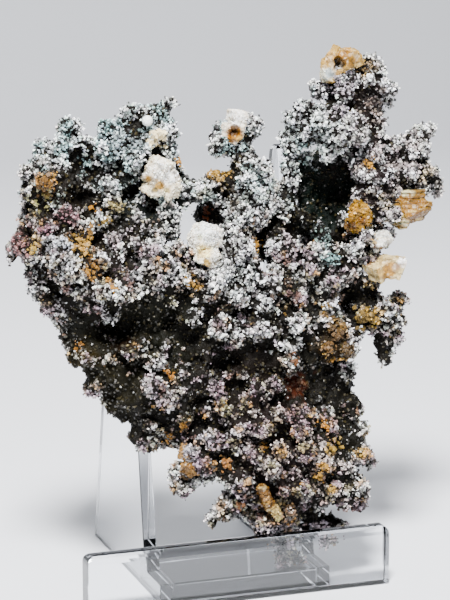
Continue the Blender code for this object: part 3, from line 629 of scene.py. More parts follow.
DRIFT_SIZES = (3.6, 1.5)      # patch sizes of the noise that thins and thickens the crust, millimetres
DRIFT = 0.9                   # how much that noise moves the thickness
KNOB_GAIN = (0.32, 0.8)       # crust gained per millimetre that a knob stands out, and the most that counts
LUMP_GAIN = (0.08, 1)         # and per millimetre that a lump stands out
BARE_BELOW = 0.38             # the thickness at which crust starts to show
COVER_SLOPE = 2.5             # how fast it closes above that
KNOB_LIGHT = (-0.9, 0.7)      # from unlit to lit by how far a knob stands out, millimetres
LUMP_LIGHT = (-3.0, 1.0)      # and by how far a lump does
HOLLOW_LIGHT = (-1.1, 0.5)    # the same for the knobs in the shallow hollows
HOLLOW_SHARE = 0.7            # and how lit those are at most
LACE_SIZE = 1.15              # size of the mesh that the druse's bright threads form, millimetres
LACE_EDGE = (0.5, 0.88)       # from the holes to the threads of that mesh


def stained(places, colours, size, seed, rare, code, strength, there=1.0):
    """Colours with soft patches of one colour wherever a noise of the patch's size stands high."""
    share = np.clip((cloud(places, size, seed) - rare) * STAIN_EDGE, 0, 1)
    return towards(colours, code, share * strength * there)


def gained(heights, gain_most):
    """A gain per millimetre of height, up to the most that counts."""
    gain, most = gain_most
    return np.clip(heights, -most, most) * gain


pale = dabbed(plain(PALE, len(points)), REGION_DABS)
cool_side = eased(sheet_places[:, 0], *COOL_SIDE)
clean = 1 - WHITE_CLEAN * np.maximum(*(dab_strength(*place) for place in WHITE_PLACES))
for size, seed, rare, code, strength, start, full in STAINS:
    there = eased(sheet_places[:, 1], start, full) * clean * (cool_side if code == COOL else 1.0)
    pale = stained(points, pale, size, seed, rare, code, strength, there)
pale = dabbed(pale, SPOT_DABS)
ground = dabbed(plain(GROUND, len(points)), GROUND_DABS)
thick = measured(COVER, COVER_DABS)
drift = two_clouds(points, *DRIFT_SIZES, 3)
level = thick + (drift - 0.5) * DRIFT + gained(proud, KNOB_GAIN) + gained(wide_proud, LUMP_GAIN)
cover = np.clip((level - BARE_BELOW) * COVER_SLOPE, 0, 1)
# Painted shade: a share of light for each point, low in the hollows between knobs and lumps and high where
# they stand out; it darkens the crust's pale specks and the druse grains.
painted_light_share = eased(proud, *KNOB_LIGHT) * eased(wide_proud, *LUMP_LIGHT)
for hollow in LIT_HOLLOWS:
    painted_light_share = np.maximum(painted_light_share, HOLLOW_SHARE * eased(proud, *HOLLOW_LIGHT) * dab_strength(*hollow))


def lace(places):
    """Bright threads round dark holes: high where a smooth noise crosses its middle value."""
    return eased(1 - np.abs(2 * cloud(places, LACE_SIZE, 61) - 1), *LACE_EDGE)


def write_colours(mesh, name, colours):
    """Store a linear colour at every point of the mesh."""
    layer = mesh.color_attributes.new(name, "FLOAT_COLOR", "POINT")
    full = np.ones((len(colours), 4), np.float32)
    full[:, :3] = colours
    layer.data.foreach_set("color", full.ravel())


def write_numbers(mesh, name, values):
    """Store a number at every point of the mesh."""
    layer = mesh.attributes.new(name, "FLOAT", "POINT")
    layer.data.foreach_set("value", values.astype(np.float32))


def node(tree, kind, links=None, **settings):
    """Add a node; settings are its properties, links maps input names or numbers to sockets or values."""
    item = tree.nodes.new(kind)
    for name, value in settings.items():
        setattr(item, name, value)
    for name, value in (links or {}).items():
        if isinstance(value, bpy.types.NodeSocket):
            tree.links.new(value, item.inputs[name])
        else:
            item.inputs[name].default_value = value
    return item


def painted(tree, name, output="Color"):
    """The colour, or with Fac the number, that a mesh stores at its points under a name."""
    return node(tree, "ShaderNodeAttribute", attribute_name=name).outputs[output]


def noise(tree, width, detail):
    """Smooth noise with patches of the given width in millimetres, fixed to the piece."""
    place = node(tree, "ShaderNodeTexCoord").outputs["Object"]
    pattern = {"Vector": place, "Scale": 1 / (width * MM), "Detail": detail}
    return node(tree, "ShaderNodeTexNoise", pattern).outputs["Fac"]


def bumped(tree, shader, height, strength, depth, sunk=False):
    """Bumps on the shader's surface from a pattern of heights; their depth is in millimetres."""
    bump = node(tree, "ShaderNodeBump",
                {"Height": height, "Strength": strength, "Distance": depth * MM}, invert=sunk)
    tree.links.new(bump.outputs[0], shader.inputs["Normal"])


CELL_WIDTH = 0.75             # width of the specks in the skin's own pattern, millimetres
SUGAR_WIDTH = 0.35            # and of the roughness on them
SKIN_SHOWS = (0.15, 0.85)     # how pale the skin is between the druse's threads, and more along them


def crust_material():
    """Weathered native copper under druse: pale specks on a dark, nearly dull ground."""
    material, tree, shader = blank_material("druse_on_weathered_copper", {"Specular IOR Level": 0.06})
    place = node(tree, "ShaderNodeTexCoord").outputs["Object"]
    grain = node(tree, "ShaderNodeTexVoronoi", {"Vector": place, "Scale": 1 / (CELL_WIDTH * MM)})
    pick = node(tree, "ShaderNodeSeparateColor", {0: grain.outputs["Color"]})
    # The cover read here carries the painted shade of the hollows as well.
    edge = node(tree, "ShaderNodeMath", {0: painted(tree, "cover", "Fac"), 1: pick.outputs[0]},
                operation="SUBTRACT")
    spread = node(tree, "ShaderNodeMapRange", {"Value": edge.outputs[0], "From Min": 0.1, "From Max": 0.3})
    bright = node(tree, "ShaderNodeMapRange", {"Value": pick.outputs[1], "To Min": 0.08, "To Max": 0.5})
    tint = node(tree, "ShaderNodeVectorMath", {0: painted(tree, "pale"), "Scale": bright.outputs[0]},
                operation="SCALE")
    mix = node(tree, "ShaderNodeMix", {"Factor": spread.outputs[0], "A": painted(tree, "ground"),
                                       "B": tint.outputs[0]}, data_type="RGBA")
    tree.links.new(mix.outputs["Result"], shader.inputs["Base Color"])
    rough = node(tree, "ShaderNodeMapRange", {"Value": spread.outputs[0], "To Min": 0.5, "To Max": 0.85})
    tree.links.new(rough.outputs[0], shader.inputs["Roughness"])
    bumps = node(tree, "ShaderNodeMath", {0: grain.outputs["Distance"], 1: noise(tree, SUGAR_WIDTH, 2.0)},
                 operation="SUBTRACT")
    bumped(tree, shader, bumps.outputs[0], 0.8, 0.3, sunk=True)
    return material


skin = make_mesh("copper_crust", points, faces)
write_colours(skin, "pale", pale)
write_colours(skin, "ground", ground)
# The stored cover is also multiplied by the painted shade, so fewer pale specks show in the hollows.
write_numbers(skin, "cover", cover * line(SKIN_SHOWS, lace(points)) * painted_light_share)
add_piece("copper_crust", skin, crust_material(), ("native_copper",))


# The druse: tiny blocky calcite crystals that grew on the copper in sprigs, short leaning rows that
# start in the crust. They crowd where the crust is thick, lie singly between, and a thin sprinkle
# of dull, dark ones roughens the bare copper.

SPRIG_COUNT = 9200
GRAINS_PER_SPRIG = 4
SPRIG_STEP = 0.38             # from one grain of a sprig to the next, millimetres
SPRIG_LEAN = 0.9              # how far a sprig leans away from straight out
CRUST_GRAINS = 26000
BARE_GRAINS = 9000
GRAIN_SIZE = (0.17, 0.43)     # half size, millimetres
GRAIN_PIECES = 5
GRAIN_STRAY = 0.16            # how far a grain's corners stray, as a share of its half size
GRAIN_SIDES = (0.6, 1.1)      # how long its three sides are, as shares of its size
GRAIN_SEAT = 0.1              # how far above the skin a sprig's first grain sits, millimetres
GRAIN_SHIFT = 0.1             # how far a grain strays from its place, millimetres
SMALL_GRAINS = 1.6            # power that makes small grains commoner than large ones
GROWTH = (1.15, -0.1)         # size of a sprig's first grain, and what each later one gains
BACK_SIDE = (-0.15, 0.4)      # surface turned further from the eye than this gets this share of grains
SPRIG_CROWD = 1.5             # how strongly sprigs crowd where the crust is thick
SPRIG_THREAD = 0.1            # and how many grow off the bright threads
SINGLE_CROWD = 1.6            # the same for single grains
SINGLE_THREAD = 0.4
BARE_EDGE = 1.05              # how far the grains of bare copper reach into the crust
HOLLOW_PAINTED_SHADE = (0.2, 0.9)        # painted shade: a grain's paleness deep in a hollow, and what the painted light adds
ROOT_PAINTED_SHADE = (0.9, 0.08)       # painted shade at the root of a sprig: a grain's paleness there, and what each later grain adds
LACE_SHADE = (0.07, 1.0)      # between the bright threads, and what they add
THIN_CRUST_PAINTED_SHADE = (0.1, 0.9)      # painted shade where the crust is thin, as on the shaded slopes: a grain's paleness there, and what thick crust adds
THICKNESS = (0.05, 0.45)      # from thin to thick
TINT_STRAY = (0.93, 1.07)     # how far single grains stray from the colour round them
DULL = "#332C14"              # the palest grain on bare copper
DULL_POWER = 2                # power that makes its dark grains commoner than its pale ones

# How many of the grains are nearly black, half stained and bright, with each kind's darkest and palest.
SHADES = ((0.14, 0.02, 0.2), (0.2, 0.3, 0.7), (0.66, 0.75, 1.2))


def face_values(values, faces):
    """Each triangle's value: the mean of the values at its corners."""
    return values[faces].mean(axis=1)


def drawn_faces(weight, count):
    """Triangles of the skin drawn with the given weight."""
    return np.searchsorted(np.cumsum(weight) / weight.sum(), np.sort(chance.random(count)))


def grain_shades(count):
    """How pale each grain is: most are bright, some are half stained and some nearly black."""
    kind = np.searchsorted(np.cumsum([share for share, _, _ in SHADES])[:-1], chance.random(count))
    low = np.array([low for _, low, _ in SHADES])[kind]
    high = np.array([high for _, _, high in SHADES])[kind]
    return between((low, high), chance.random(count))


def druse_material():
    """Sugary calcite: pale, with small glints from its flat cleavage faces."""
    material, tree, shader = blank_material("sugary_calcite_druse", {"Roughness": 0.4, "IOR": 1.55})
    tree.links.new(painted(tree, "tint"), shader.inputs["Base Color"])
    return material


def dented(points, faces, sizes, share):
    """Many blocks, each with its corners strayed by a share of its size."""
    reach = np.repeat(sizes * share, len(points) // len(sizes))[:, None]
    return points + chance.normal(size=points.shape) * reach, faces


def add_crystals(name, shape, layer, colours, material, replaced=()):
    """Put flat-faced crystals into the scene inside the solids' box, coloured point by point."""
    mesh = make_mesh(name, in_box(shape[0]), shape[1])
    mesh.shade_flat()
    write_colours(mesh, layer, np.clip(colours, 0, 1))
    add_piece(name, mesh, material, replaced)


area = np.linalg.norm(face_normals(points, faces), axis=1)
area = area * np.where((normals[faces[:, 0]] @ BACK) > BACK_SIDE[0], 1.0, BACK_SIDE[1])
covered = face_values(cover, faces)
thread = lace(points[faces].mean(axis=1))
sprigs = drawn_faces(area * covered ** SPRIG_CROWD * (SPRIG_THREAD + thread), SPRIG_COUNT)
singles = drawn_faces(area * covered ** SINGLE_CROWD * (SINGLE_THREAD + thread), CRUST_GRAINS)
bare = drawn_faces(area * (BARE_EDGE - covered), BARE_GRAINS)
lean = unit(normals[faces[sprigs, 0]] + random_directions(SPRIG_COUNT) * SPRIG_LEAN)
rank = np.tile(np.arange(GRAINS_PER_SPRIG), SPRIG_COUNT)    # each grain's place along its sprig
rank = np.concatenate([rank, np.zeros(CRUST_GRAINS + BARE_GRAINS)])
chosen = np.concatenate([np.repeat(sprigs, GRAINS_PER_SPRIG), singles, bare])
aim = np.concatenate([np.repeat(lean, GRAINS_PER_SPRIG, axis=0), normals[faces[singles, 0]],
                      normals[faces[bare, 0]]])
count = len(chosen)
corner = faces[chosen, 0]
sizes = between(GRAIN_SIZE, chance.random(count) ** SMALL_GRAINS) * line(GROWTH, rank)
spots = points[faces[chosen]].mean(axis=1) + aim * (GRAIN_SEAT + rank * SPRIG_STEP)[:, None]
spots = spots + chance.normal(size=(count, 3)) * GRAIN_SHIFT
# Painted shade on each grain: darker deep in hollows, at the roots of sprigs and where the crust is thin,
# over its own random tone and the lace.
shades = grain_shades(count) * line(HOLLOW_PAINTED_SHADE, painted_light_share[corner]) * line(ROOT_PAINTED_SHADE, rank)
shades = shades * line(LACE_SHADE, lace(spots)) * line(THIN_CRUST_PAINTED_SHADE, eased(thick[corner], *THICKNESS))
dull = (np.arange(count) >= count - BARE_GRAINS)[:, None]
palest = pale[corner] * chance.uniform(*TINT_STRAY, (count, 3))
palest = np.where(dull, np.array(linear(DULL)[:3]), palest)
shades = np.where(dull, chance.random((count, 1)) ** DULL_POWER, shades[:, None])
tints = ground[corner] + (palest - ground[corner]) * shades
blocks = sizes[:, None] * chance.uniform(*GRAIN_SIDES, (count, 3))
turns = random_turns(count)
block_shape = calcite_block()
druse = druse_material()
order = chance.permutation(count)
for number in range(GRAIN_PIECES):
    part = np.sort(order[number::GRAIN_PIECES])
    grains = copies(*block_shape, spots[part], blocks[part], turns[part])
    grains = dented(*grains, sizes[part], GRAIN_STRAY)
    grain_tints = np.repeat(tints[part], len(block_shape[0]), axis=0)
    add_crystals(f"druse_{number + 1}", grains, "tint", grain_tints, druse)


# The calcite: larger waxy crystals, cream to orange with iron stain, that grew in pockets of the
# copper after the druse. Each group is its solid with worn edges, grooves between its growth layers,
# pits and hollows, with small blocks grown on it and druse creeping up where it meets the copper.

CALCITE_STEP = 0.28           # size of the crystals' cells, millimetres
GROOVE_WIDTH = 0.5            # share of a layer that its groove takes
GROOVE_DARKENING = 0.55           # how much darker a groove's colour is made
LAYER_WAVE = (0.5, 4.0)       # how far the layers wander, in layers, and over how many millimetres
GROOVE_DEPTHS = (2.5, 2, 0.3, 0.2)   # patch size, gain, loss and least of a groove's depth along it
STAIN_RAGGED = (0.6, 0.8)     # how a noise moves a stain's edge in and out
STAIN_SIZES = (1.5, 0.7)      # that noise's patch sizes, millimetres
STAIN_FADE = (0.5, 1.15)      # from a stain's full middle to its end, in radii
HOLLOW_EDGE = (0.4, 1.1)      # from a hollow's floor to its rim, in radii
FRONT_GAIN = 2                # how soon a surface counts as turned to the front

# Pits, each as share of the group's pit depth, patch size, seed, and from where the noise makes one.
PITS = ((1.0, 1.3, 33, 0.45, 0.85), (0.5, 0.6, 34, 0.4, 0.9))

# Soft patches all over: patch size in millimetres, seed, how rare, colour and strength.
MOTTLE = (
    (1.6, 41, 0.54, "#A07A3C", 0.35), (1.0, 42, 0.64, "#F2EAD8", 0.22), (0.7, 43, 0.62, "#6A4C28", 0.45),
)

# Each group's slot, base colour, layer direction, layer thickness, groove depth, pit depth, hollows as
# (across, height, radius, depth) and stains, with a few dabs of painted shade and painted highlight, as
# (across, height, radius, colour), all on the sheet.
CALCITE = {
    "top_crystals": ("cream_calcite", "#9E7C36", (0.5, 0.2, 0.8), 3.1, 0.2, 0.3, (
        (37.2, 160.6, 1.5, 2.4), (38.4, 159.4, 1.7, 3.0), (36.9, 158.6, 1.2, 1.8),
    ), (
        (33, 156.0, 3.0, "#C2BFA8"), (35.2, 161.4, 2.4, "#B48A48"), (39.4, 161.8, 3.4, "#8A5C0C"),
        (41.6, 160.2, 2.4, "#74500A"), (43.8, 158.6, 1.6, "#A88A4C"), (39.6, 163.2, 0.9, "#6A4408"),
        # Painted shade: these three near-black stains fill the pocket hollows listed above.
        (37.3, 160.5, 1.4, "#1A1612"), (38.4, 159.4, 1.6, "#14110C"), (36.9, 158.5, 1.3, "#2A2620"),
        (34.6, 156.6, 2.2, "#8C9494"),
    )),
    "spire_crystals": ("cream_calcite", "#DAD0BC", (0.2, 0.1, 1.0), 2.8, 0.25, 0.3, (
        (4.4, 137.6, 2.2, 2.6), (4.6, 139.2, 1.3, 1.8),
    ), (
        (5.1, 142.6, 3.6, "#ECEAE4"), (8.2, 137.3, 2.0, "#D2C6AA"), (3.0, 135.8, 2.4, "#84581A"),
        # Painted shade: the dark brown stain at (4.4, 137.8) lies in the spire's hollow.
        (4.8, 137.2, 3.1, "#7E4E08"), (4.4, 137.8, 1.5, "#3A1C04"), (6.2, 135.6, 1.4, "#A8823A"),
    )),
    "left_tower_crystals": ("cream_calcite", "#E2D6BA", (0.7, 0.1, 0.7), 2.6, 0.3, 0.3, (), (
        (-18.8, 125.4, 4.6, "#F8F2E2"), (-22.6, 123.0, 1.4, "#8E6A2C"), (-19.3, 121.0, 1.8, "#BC8E34"),
        (-15.0, 124.0, 3.0, "#EEEBE2"), (-23.8, 119.6, 1.7, "#F4E4C4"), (-24.2, 117.4, 1.7, "#74460C"),
        (-20.5, 119.6, 1.2, "#8A7440"), (-16.8, 119.4, 1.2, "#A89868"),
    )),
    "white_dome": ("cream_calcite", "#E2DCCE", (0.1, 0.3, 1.0), 3.4, 0.2, 0.35, (), (
        (-3.7, 106.0, 4.2, "#E0E0DA"), (-5.0, 100.0, 3.0, "#E6CE92"), (-4.3, 96.6, 1.6, "#94783A"),
        (-9.6, 99.2, 1.8, "#C09670"), (-6.4, 104.6, 1.2, "#B4B49C"),
    )),
    "layered_crystal": ("cream_calcite", "#6E4E04", (0.05, 0.1, 1.0), 1.55, 0.5, 0.35, (), (
        (59.1, 119.2, 3.2, "#B4B088"), (56.5, 116.6, 2.0, "#80540A"), (60.0, 115.9, 2.6, "#6C4800"),
        (63.4, 115.0, 2.4, "#6C4600"), (55.2, 111.6, 3.0, "#989258"), (62.6, 112.0, 2.6, "#664402"),
        (63.2, 109.6, 1.8, "#5A3818"), (58.2, 108.8, 2.0, "#98987A"), (60.0, 113.2, 2.0, "#8C6014"),
    )),
    "upper_side_crystal": ("cream_calcite", "#DEDCD2", (0.3, 0.1, 1.0), 2.4, 0.35, 0.3, (), (
        (48.4, 102.0, 1.5, "#8E7260"), (51.0, 101.0, 1.0, "#4E3E32"),
    )),
    "large_side_crystal": ("cream_calcite", "#BEA873", (0.4, 0.1, 0.9), 3.0, 0.25, 0.3, (), (
        # Painted highlight: the near-white stain at (58.0, 96.6) on the crystal's shiny right end.
        (53.0, 92.8, 2.2, "#74500A"), (53.6, 94.6, 2.4, "#A07224"), (58.0, 96.6, 2.0, "#F0ECE6"),
        (56.0, 95.0, 1.5, "#84684E"), (50.6, 93.6, 1.6, "#B4924E"),
    )),
    "orange_crystals": ("orange_calcite", "#6E4E06", (0.4, 0.2, 0.9), 1.3, 0.45, 0.6, (), (
        (42.4, 113.4, 2.2, "#94680E"), (44.8, 110.0, 1.8, "#5E3A06"), (45.6, 113.8, 1.6, "#9A7428"),
        (41.5, 108.5, 1.8, "#4A2C06"),
    )),
    "peach_crystals": ("orange_calcite", "#7A582A", (0.3, 0.2, 0.9), 2.0, 0.3, 0.4, (), (
        (-10.5, 36.5, 1.6, "#A8825A"), (-9.0, 32.0, 1.7, "#6A4616"), (-11.5, 30.5, 1.2, "#563A12"),
    )),
    "orange_blade": ("orange_calcite", "#4E3208", (0.6, 0.1, -0.8), 1.8, 0.3, 0.4, (), (
        (14.0, 23.5, 1.8, "#583808"), (14.6, 21.0, 1.5, "#8E6420"), (17.8, 17.5, 2.4, "#A08A50"),
        (18.6, 15.4, 1.4, "#8E8250"),
    )),
}

# Where a group's outline is filled out with soft lobes: across and height on the sheet, and radius.
LOBES = {"top_crystals": ((38.4, 160.8, 4.2), (40.2, 161.2, 4.0), (35.0, 159.4, 3.6))}
LOBE_FLATNESS = 0.55          # a lobe's depth as a share of its radius

# How strongly a group shows level streaks, the streaks' colours and where in the noise each comes in.
STREAKS = {
    "layered_crystal": 0.6, "orange_crystals": 0.4, "orange_blade": 0.4, "upper_side_crystal": 0.2,
}
STREAK_COLOURS = (("#6A4200", 0.5, 0.35), ("#C0A664", 0.62, 0.78))
STREAK_SIZE = 0.62            # how far apart the streaks lie, millimetres
STREAK_STRETCH = np.array([0.16, 0.16, 1.0])    # the noise's pace sideways as a share of its pace upwards

# The small blocks that grow on a group: how many, and their smallest and largest half size.
SUGAR = {
    "orange_crystals": (520, 0.22, 0.6), "orange_blade": (220, 0.2, 0.42),
    "peach_crystals": (200, 0.22, 0.45),
    "white_dome": (1000, 0.16, 0.38), "layered_crystal": (60, 0.14, 0.28), "top_crystals": (120, 0.14, 0.3),
    "spire_crystals": (60, 0.16, 0.3), "left_tower_crystals": (520, 0.15, 0.34),
    "large_side_crystal": (60, 0.16, 0.3), "upper_side_crystal": (60, 0.16, 0.3),
}
EDGE_GRAINS = 1500            # druse grains tried on each group; those close to the copper stay
EDGE_REACH = 0.9              # how close that is, millimetres
EDGE_SIZE = (0.18, 0.42)
EDGE_SHADE = (0.15, 0.95)     # how pale such a grain is, as a share of the crust beside it
EDGE_POWER = 1.5              # power that makes dark ones commoner
SUGAR_SHADE = (0.5, 1.6)      # how dark or light a block is beside the crystal under it
SEARCH_MARGIN = 2             # how far round a group its nearest copper is looked for, millimetres


def with_lobes(solid, lobes):
    """A solid with flat balls set into its front at the given places of the sheet."""
    places = on_sheet(solid[0])
    for across, height, radius in lobes:
        near = np.argmin(off_place(places, across, height))
        shift = (np.array([across, height]) - places[near]) * SHEET_SCALE
        centre = solid[0][near] + RIGHT * shift[0] + UP * shift[1] - BACK * radius * LOBE_FLATNESS
        depthwise = (ball(3)[0] @ BACK)[:, None] * BACK * (LOBE_FLATNESS - 1)
        solid = joined(solid, ((ball(3)[0] + depthwise) * radius + centre, ball(3)[1]))
    return solid


def near_skin(places):
    """Which of the places lie close to the copper's skin, and the skin's nearest point to each."""
    above = (points > places.min(axis=0) - SEARCH_MARGIN).all(axis=1)
    below = (points < places.max(axis=0) + SEARCH_MARGIN).all(axis=1)
    near = np.flatnonzero(above & below)
    gap = np.linalg.norm(places[:, None] - points[near][None], axis=2)
    kept = gap.min(axis=1) < EDGE_REACH
    return kept, near[gap.argmin(axis=1)][kept]


def painted_on_sheet(places, base, stains_shade_and_highlights):
    """A colour for each sheet place: the base with each stain, painted shade and painted highlight laid
    over it, its edge made ragged.
    """
    colours = plain(base, len(places))
    level_places = np.concatenate([places, np.zeros((len(places), 1))], axis=1)
    edge = line(STAIN_RAGGED, two_clouds(level_places, *STAIN_SIZES, 51))
    for across, height, radius, code in stains_shade_and_highlights:
        off = off_place(places, across, height) / radius
        colours = towards(colours, code, 1 - eased(off * edge, *STAIN_FADE))
    return colours


def grooves(points, layer, thickness):
    """From 0 on a growth layer to 1 in the groove beside it, weaker here and there."""
    direction = np.array(layer) / np.linalg.norm(layer)
    wave, wave_size = LAYER_WAVE
    phase = points @ direction / thickness + wave * cloud(points, wave_size, 31)
    between_layers = np.clip(1 - np.abs(phase - np.round(phase)) / (GROOVE_WIDTH / 2), 0, 1)
    patch, gain, loss, least = GROOVE_DEPTHS
    return between_layers * np.clip(cloud(points, patch, 32) * gain - loss, least, 1)


def carved(points, faces, groove_depth, pits, hollows):
    """Points moved inwards: grooves between growth layers, pits where a noise stands high, hollows."""
    normals = point_normals(points, faces)
    depth = groove_depth
    for share, size, seed, low, high in PITS:
        depth = depth + share * pits * eased(cloud(points, size, seed), low, high)
    places = on_sheet(points)
    facing = np.clip(normals @ BACK * FRONT_GAIN, 0, 1)
    moved = points - normals * depth[:, None]
    for across, height, radius, inward in hollows:
        off = off_place(places, across, height) / radius
        moved = moved - BACK * (inward * facing * (1 - eased(off, *HOLLOW_EDGE)))[:, None]
    return moved


FROST_WIDTH = 0.5             # width of the frosting's patches, millimetres


def mottled(tree, shader, name, patches, darkest, lightest):
    """Colour the shader by a mesh's stored colour, scaled as a noise rises through its middle range."""
    depth = node(tree, "ShaderNodeMapRange", {"Value": patches, "From Min": 0.3, "From Max": 0.7,
                                              "To Min": darkest, "To Max": lightest})
    tint = node(tree, "ShaderNodeVectorMath", {0: painted(tree, name), "Scale": depth.outputs[0]},
                operation="SCALE")
    tree.links.new(tint.outputs[0], shader.inputs["Base Color"])


def calcite_material():
    """Waxy calcite: soft light under a faintly glossy, finely frosted skin."""
    material, tree, shader = blank_material("iron_stained_calcite", {
        "Roughness": 0.36, "IOR": 1.56, "Specular IOR Level": 0.3,
        "Subsurface Weight": 0.1, "Subsurface Radius": (1.0, 0.6, 0.3), "Subsurface Scale": 0.6 * MM,
    })
    frost = noise(tree, FROST_WIDTH, 3.0)
    mottled(tree, shader, "stain", frost, 0.72, 1.08)
    bumped(tree, shader, frost, 0.7, 0.25)
    return material


calcite = calcite_material()
for name, (slot, base, layer, thickness, groove, pits, hollows, stains_shade_and_highlights) in CALCITE.items():
    fine_points, fine_faces = skinned(*with_lobes(node_shape(name), LOBES.get(name, ())), CALCITE_STEP)
    colours = painted_on_sheet(on_sheet(fine_points), base, stains_shade_and_highlights)
    for patches in MOTTLE:
        colours = stained(fine_points, colours, *patches)
    streak = cloud(fine_points * STREAK_STRETCH, STREAK_SIZE, 71)
    for code, start, full in STREAK_COLOURS:
        colours = towards(colours, code, eased(streak, start, full) * STREAKS.get(name, 0.0))
    cut = grooves(fine_points, layer, thickness)
    colours = colours * (1 - cut * GROOVE_DARKENING)[:, None]
    carved_points = carved(fine_points, fine_faces, cut * groove, pits, hollows)
    number, smallest, largest = SUGAR[name]
    sugar_places, _ = scatter(carved_points, fine_faces, number)
    edge_places, _ = scatter(carved_points, fine_faces, EDGE_GRAINS)
    kept, nearest = near_skin(edge_places)
    edge_colours = pale[nearest] * chance.uniform(*EDGE_SHADE, (len(nearest), 1)) ** EDGE_POWER
    sugar_colours = painted_on_sheet(on_sheet(sugar_places), base, stains_shade_and_highlights)
    sugar_colours = sugar_colours * chance.uniform(*SUGAR_SHADE, (number, 1))
    block_places = np.concatenate([sugar_places, edge_places[kept]])
    block_sizes = np.concatenate([between((smallest, largest), chance.random(number)),
                                  between(EDGE_SIZE, chance.random(len(nearest)))])[:, None]
    block_sizes = block_sizes * chance.uniform(*GRAIN_SIDES, (len(block_places), 3))
    blocks = copies(*block_shape, block_places, block_sizes, random_turns(len(block_places)))
    whole = joined((carved_points, fine_faces), blocks)
    block_colours = np.concatenate([sugar_colours, edge_colours])
    block_colours = np.repeat(block_colours, len(block_shape[0]), axis=0)
    whole_colours = np.concatenate([colours, block_colours])
    add_crystals(f"waxy_{name}", whole, "stain", whole_colours, calcite, (name,))


# The buds: bunches of small dented calcite blocks, rusty to ochre with iron, that sit on the crust,
# a few cream ones, and one round white bead. Each bunch is set where the sight line meets the copper.

GRAINS_PER_BUD = 4
BUD_GRAIN_SIZES = (0.5, 0.66)   # smallest and largest half size of a grain, as shares of the buds' radii
SMALL_BUDS = 1.4              # power that makes small grains commoner than large ones
BUD_DENT = 0.16               # how far a grain's corners stray, as a share of its size
BUD_SIDES = (0.6, 1.15)       # how long its three sides are, as shares of its size
BUD_SHADE = (0.6, 1.35)       # how dark or light a grain is beside its bunch's colour
BUD_LIFT = 0.35               # how far its middle stands off the copper, as a share of its size
BUNCH_CROWD = 0.55            # how close to the middle of a bunch its grains keep
BUNCH_END = 1.2               # and how far out the last ones are, both as shares of its spread
BUD_AIM = BACK + UP * 0.3     # the way they stand off: towards the eye and a little up
EARTH_WIDTH = 0.4             # width of the patches on a grain, millimetres

# Each bunch as across and height on the sheet, spread, number of buds, smallest and largest radius,
# and colour.
BUNCHES = (
    (37.8, 76.6, 2.2, 26, 0.4, 0.95, "#4A3404"), (37.4, 73.6, 2.0, 20, 0.4, 0.95, "#482F02"),
    (34.9, 69.9, 1.8, 20, 0.4, 0.9, "#503404"), (40.0, 68.9, 2.1, 24, 0.4, 0.9, "#402C04"),
    (33.7, 81.3, 1.3, 9, 0.4, 0.8, "#5E4406"), (46.0, 78.8, 2.6, 17, 0.6, 1.2, "#60490C"),
    (-55.6, 121.4, 3.0, 18, 0.5, 1.1, "#5E3E08"), (-55.0, 117.7, 1.8, 8, 0.5, 1.0, "#7A6A2C"),
    (-43.8, 101.6, 2.2, 12, 0.5, 1.0, "#94702A"), (-41.0, 93.7, 1.8, 9, 0.5, 1.0, "#80580E"),
    (-39.8, 113.9, 0.8, 5, 0.5, 0.9, "#9A660A"), (-35.4, 109.5, 1.5, 7, 0.5, 0.9, "#7A5E12"),
    (-40.5, 107.6, 1.4, 7, 0.5, 0.9, "#74500E"), (-59.7, 101.3, 1.4, 6, 0.5, 1.0, "#886C28"),
    (-33.5, 88.3, 0.9, 4, 0.5, 0.8, "#946618"), (-1.9, 125.6, 1.8, 8, 0.5, 1.0, "#7A5A10"),
    (-4.1, 112.0, 1.4, 7, 0.5, 1.0, "#6E3208"), (12.1, 102.5, 1.0, 7, 0.4, 0.8, "#9E6C14"),
    (-8.6, 90.5, 1.9, 10, 0.5, 1.0, "#86621E"), (47.5, 128.5, 1.0, 6, 0.4, 0.8, "#A87416"),
    (-45.4, 70.3, 0.9, 5, 0.4, 0.8, "#845406"), (-16.3, 61.4, 1.0, 6, 0.4, 0.8, "#8E5A08"),
    (-16.5, 40.3, 1.0, 6, 0.4, 0.8, "#9C6E26"), (-11.7, 44.1, 0.8, 5, 0.4, 0.8, "#946618"),
    (2.2, 32.3, 1.7, 8, 0.4, 0.9, "#7A4A0A"), (14.6, 38.6, 1.0, 5, 0.4, 0.8, "#84580C"),
    (32.4, 44.9, 1.1, 8, 0.4, 0.9, "#946008"), (33.7, 32.3, 1.0, 6, 0.4, 0.9, "#8A6410"),
    (31.1, 28.2, 1.2, 8, 0.4, 0.9, "#8A6416"), (34.9, 25.0, 1.0, 6, 0.4, 0.8, "#8C6E24"),
    (21.0, 35.4, 1.1, 6, 0.4, 0.8, "#94702A"), (36.5, 38.3, 1.6, 8, 0.4, 1.0, "#86691C"),
    (44.8, 37.0, 1.2, 6, 0.5, 0.9, "#967826"), (-13.0, 128.8, 1.0, 6, 0.4, 0.9, "#A8741C"),
    (-19.4, 135.8, 2.4, 14, 0.7, 1.4, "#DCCBA0"),
    (6.4, 18.6, 1.2, 7, 0.4, 0.9, "#8A5C34"), (9.0, 27.0, 1.2, 6, 0.4, 0.8, "#8E6C44"),
    (24.0, 66.0, 1.6, 7, 0.4, 0.8, "#56300C"), (26.0, 58.0, 1.6, 7, 0.4, 0.8, "#44260C"),
)

BEAD = (-23.8, 141.4, 1.7, "#E8EAE6")   # the one round white bead: across, height, radius, colour
BEAD_LIFT = 0.5               # how far its middle stands off the copper, as a share of its radius


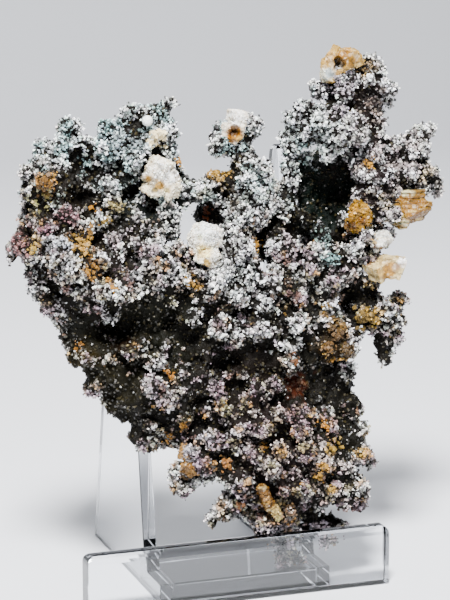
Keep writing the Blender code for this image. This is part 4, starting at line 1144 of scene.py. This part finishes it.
def bud_material():
    """Limonite and stained calcite: dull, earthy, rusty orange to ochre."""
    material, tree, shader = blank_material("rusty_limonite_buds", {"Roughness": 0.62})
    earth = noise(tree, EARTH_WIDTH, 2.0)
    mottled(tree, shader, "rust", earth, 0.55, 1.25)
    bumped(tree, shader, earth, 0.8, 0.2)
    return material


bud_places, bud_sizes, bud_colours = [], [], []
for across, height, spread, number, smallest, largest, code in BUNCHES:
    number = number * GRAINS_PER_BUD
    low_high = (smallest * BUD_GRAIN_SIZES[0], largest * BUD_GRAIN_SIZES[1])
    shifts = np.clip(chance.normal(size=(number, 2)) * BUNCH_CROWD, -BUNCH_END, BUNCH_END) * spread
    seats = np.array([seat(across + shift[0], height + shift[1]) for shift in shifts])
    sizes = between(low_high, chance.random(number) ** SMALL_BUDS)
    bud_places.append(seats + BUD_AIM * (sizes * BUD_LIFT)[:, None])
    bud_sizes.append(sizes)
    bud_colours.append(plain(code, number) * chance.uniform(*BUD_SHADE, (number, 1)))
bud_places, bud_sizes = np.concatenate(bud_places), np.concatenate(bud_sizes)
uneven = bud_sizes[:, None] * chance.uniform(*BUD_SIDES, (len(bud_sizes), 3))
buds = copies(*block_shape, bud_places, uneven, random_turns(len(bud_sizes)))
buds = dented(*buds, bud_sizes, BUD_DENT)
bud_tints = np.repeat(np.concatenate(bud_colours), len(block_shape[0]), axis=0)
across, height, radius, code = BEAD
bead_points, bead_faces = ball(3)
bead_points = bead_points * radius + seat(across, height) + BACK * radius * BEAD_LIFT
bud_tints = np.concatenate([bud_tints, plain(code, len(bead_points))])
buds = joined(buds, (bead_points, bead_faces))
add_crystals("rusty_buds", buds, "rust", bud_tints, bud_material())


# The easel: four pieces of clear cast acrylic sheet with flame-polished edges, glued together. Their
# solids stay as they are, and only get their material: clear, nearly colourless and glossy all over.

acrylic = blank_material("clear_cast_acrylic", {
    "Base Color": linear("#FAFCFF"), "Roughness": 0.02, "IOR": 1.49, "Transmission Weight": 1.0,
})[0]
for name in ("front_lip", "shelf", "left_side_plate", "right_side_plate"):
    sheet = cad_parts[name]
    sheet.data.materials.clear()
    sheet.data.materials.append(acrylic)
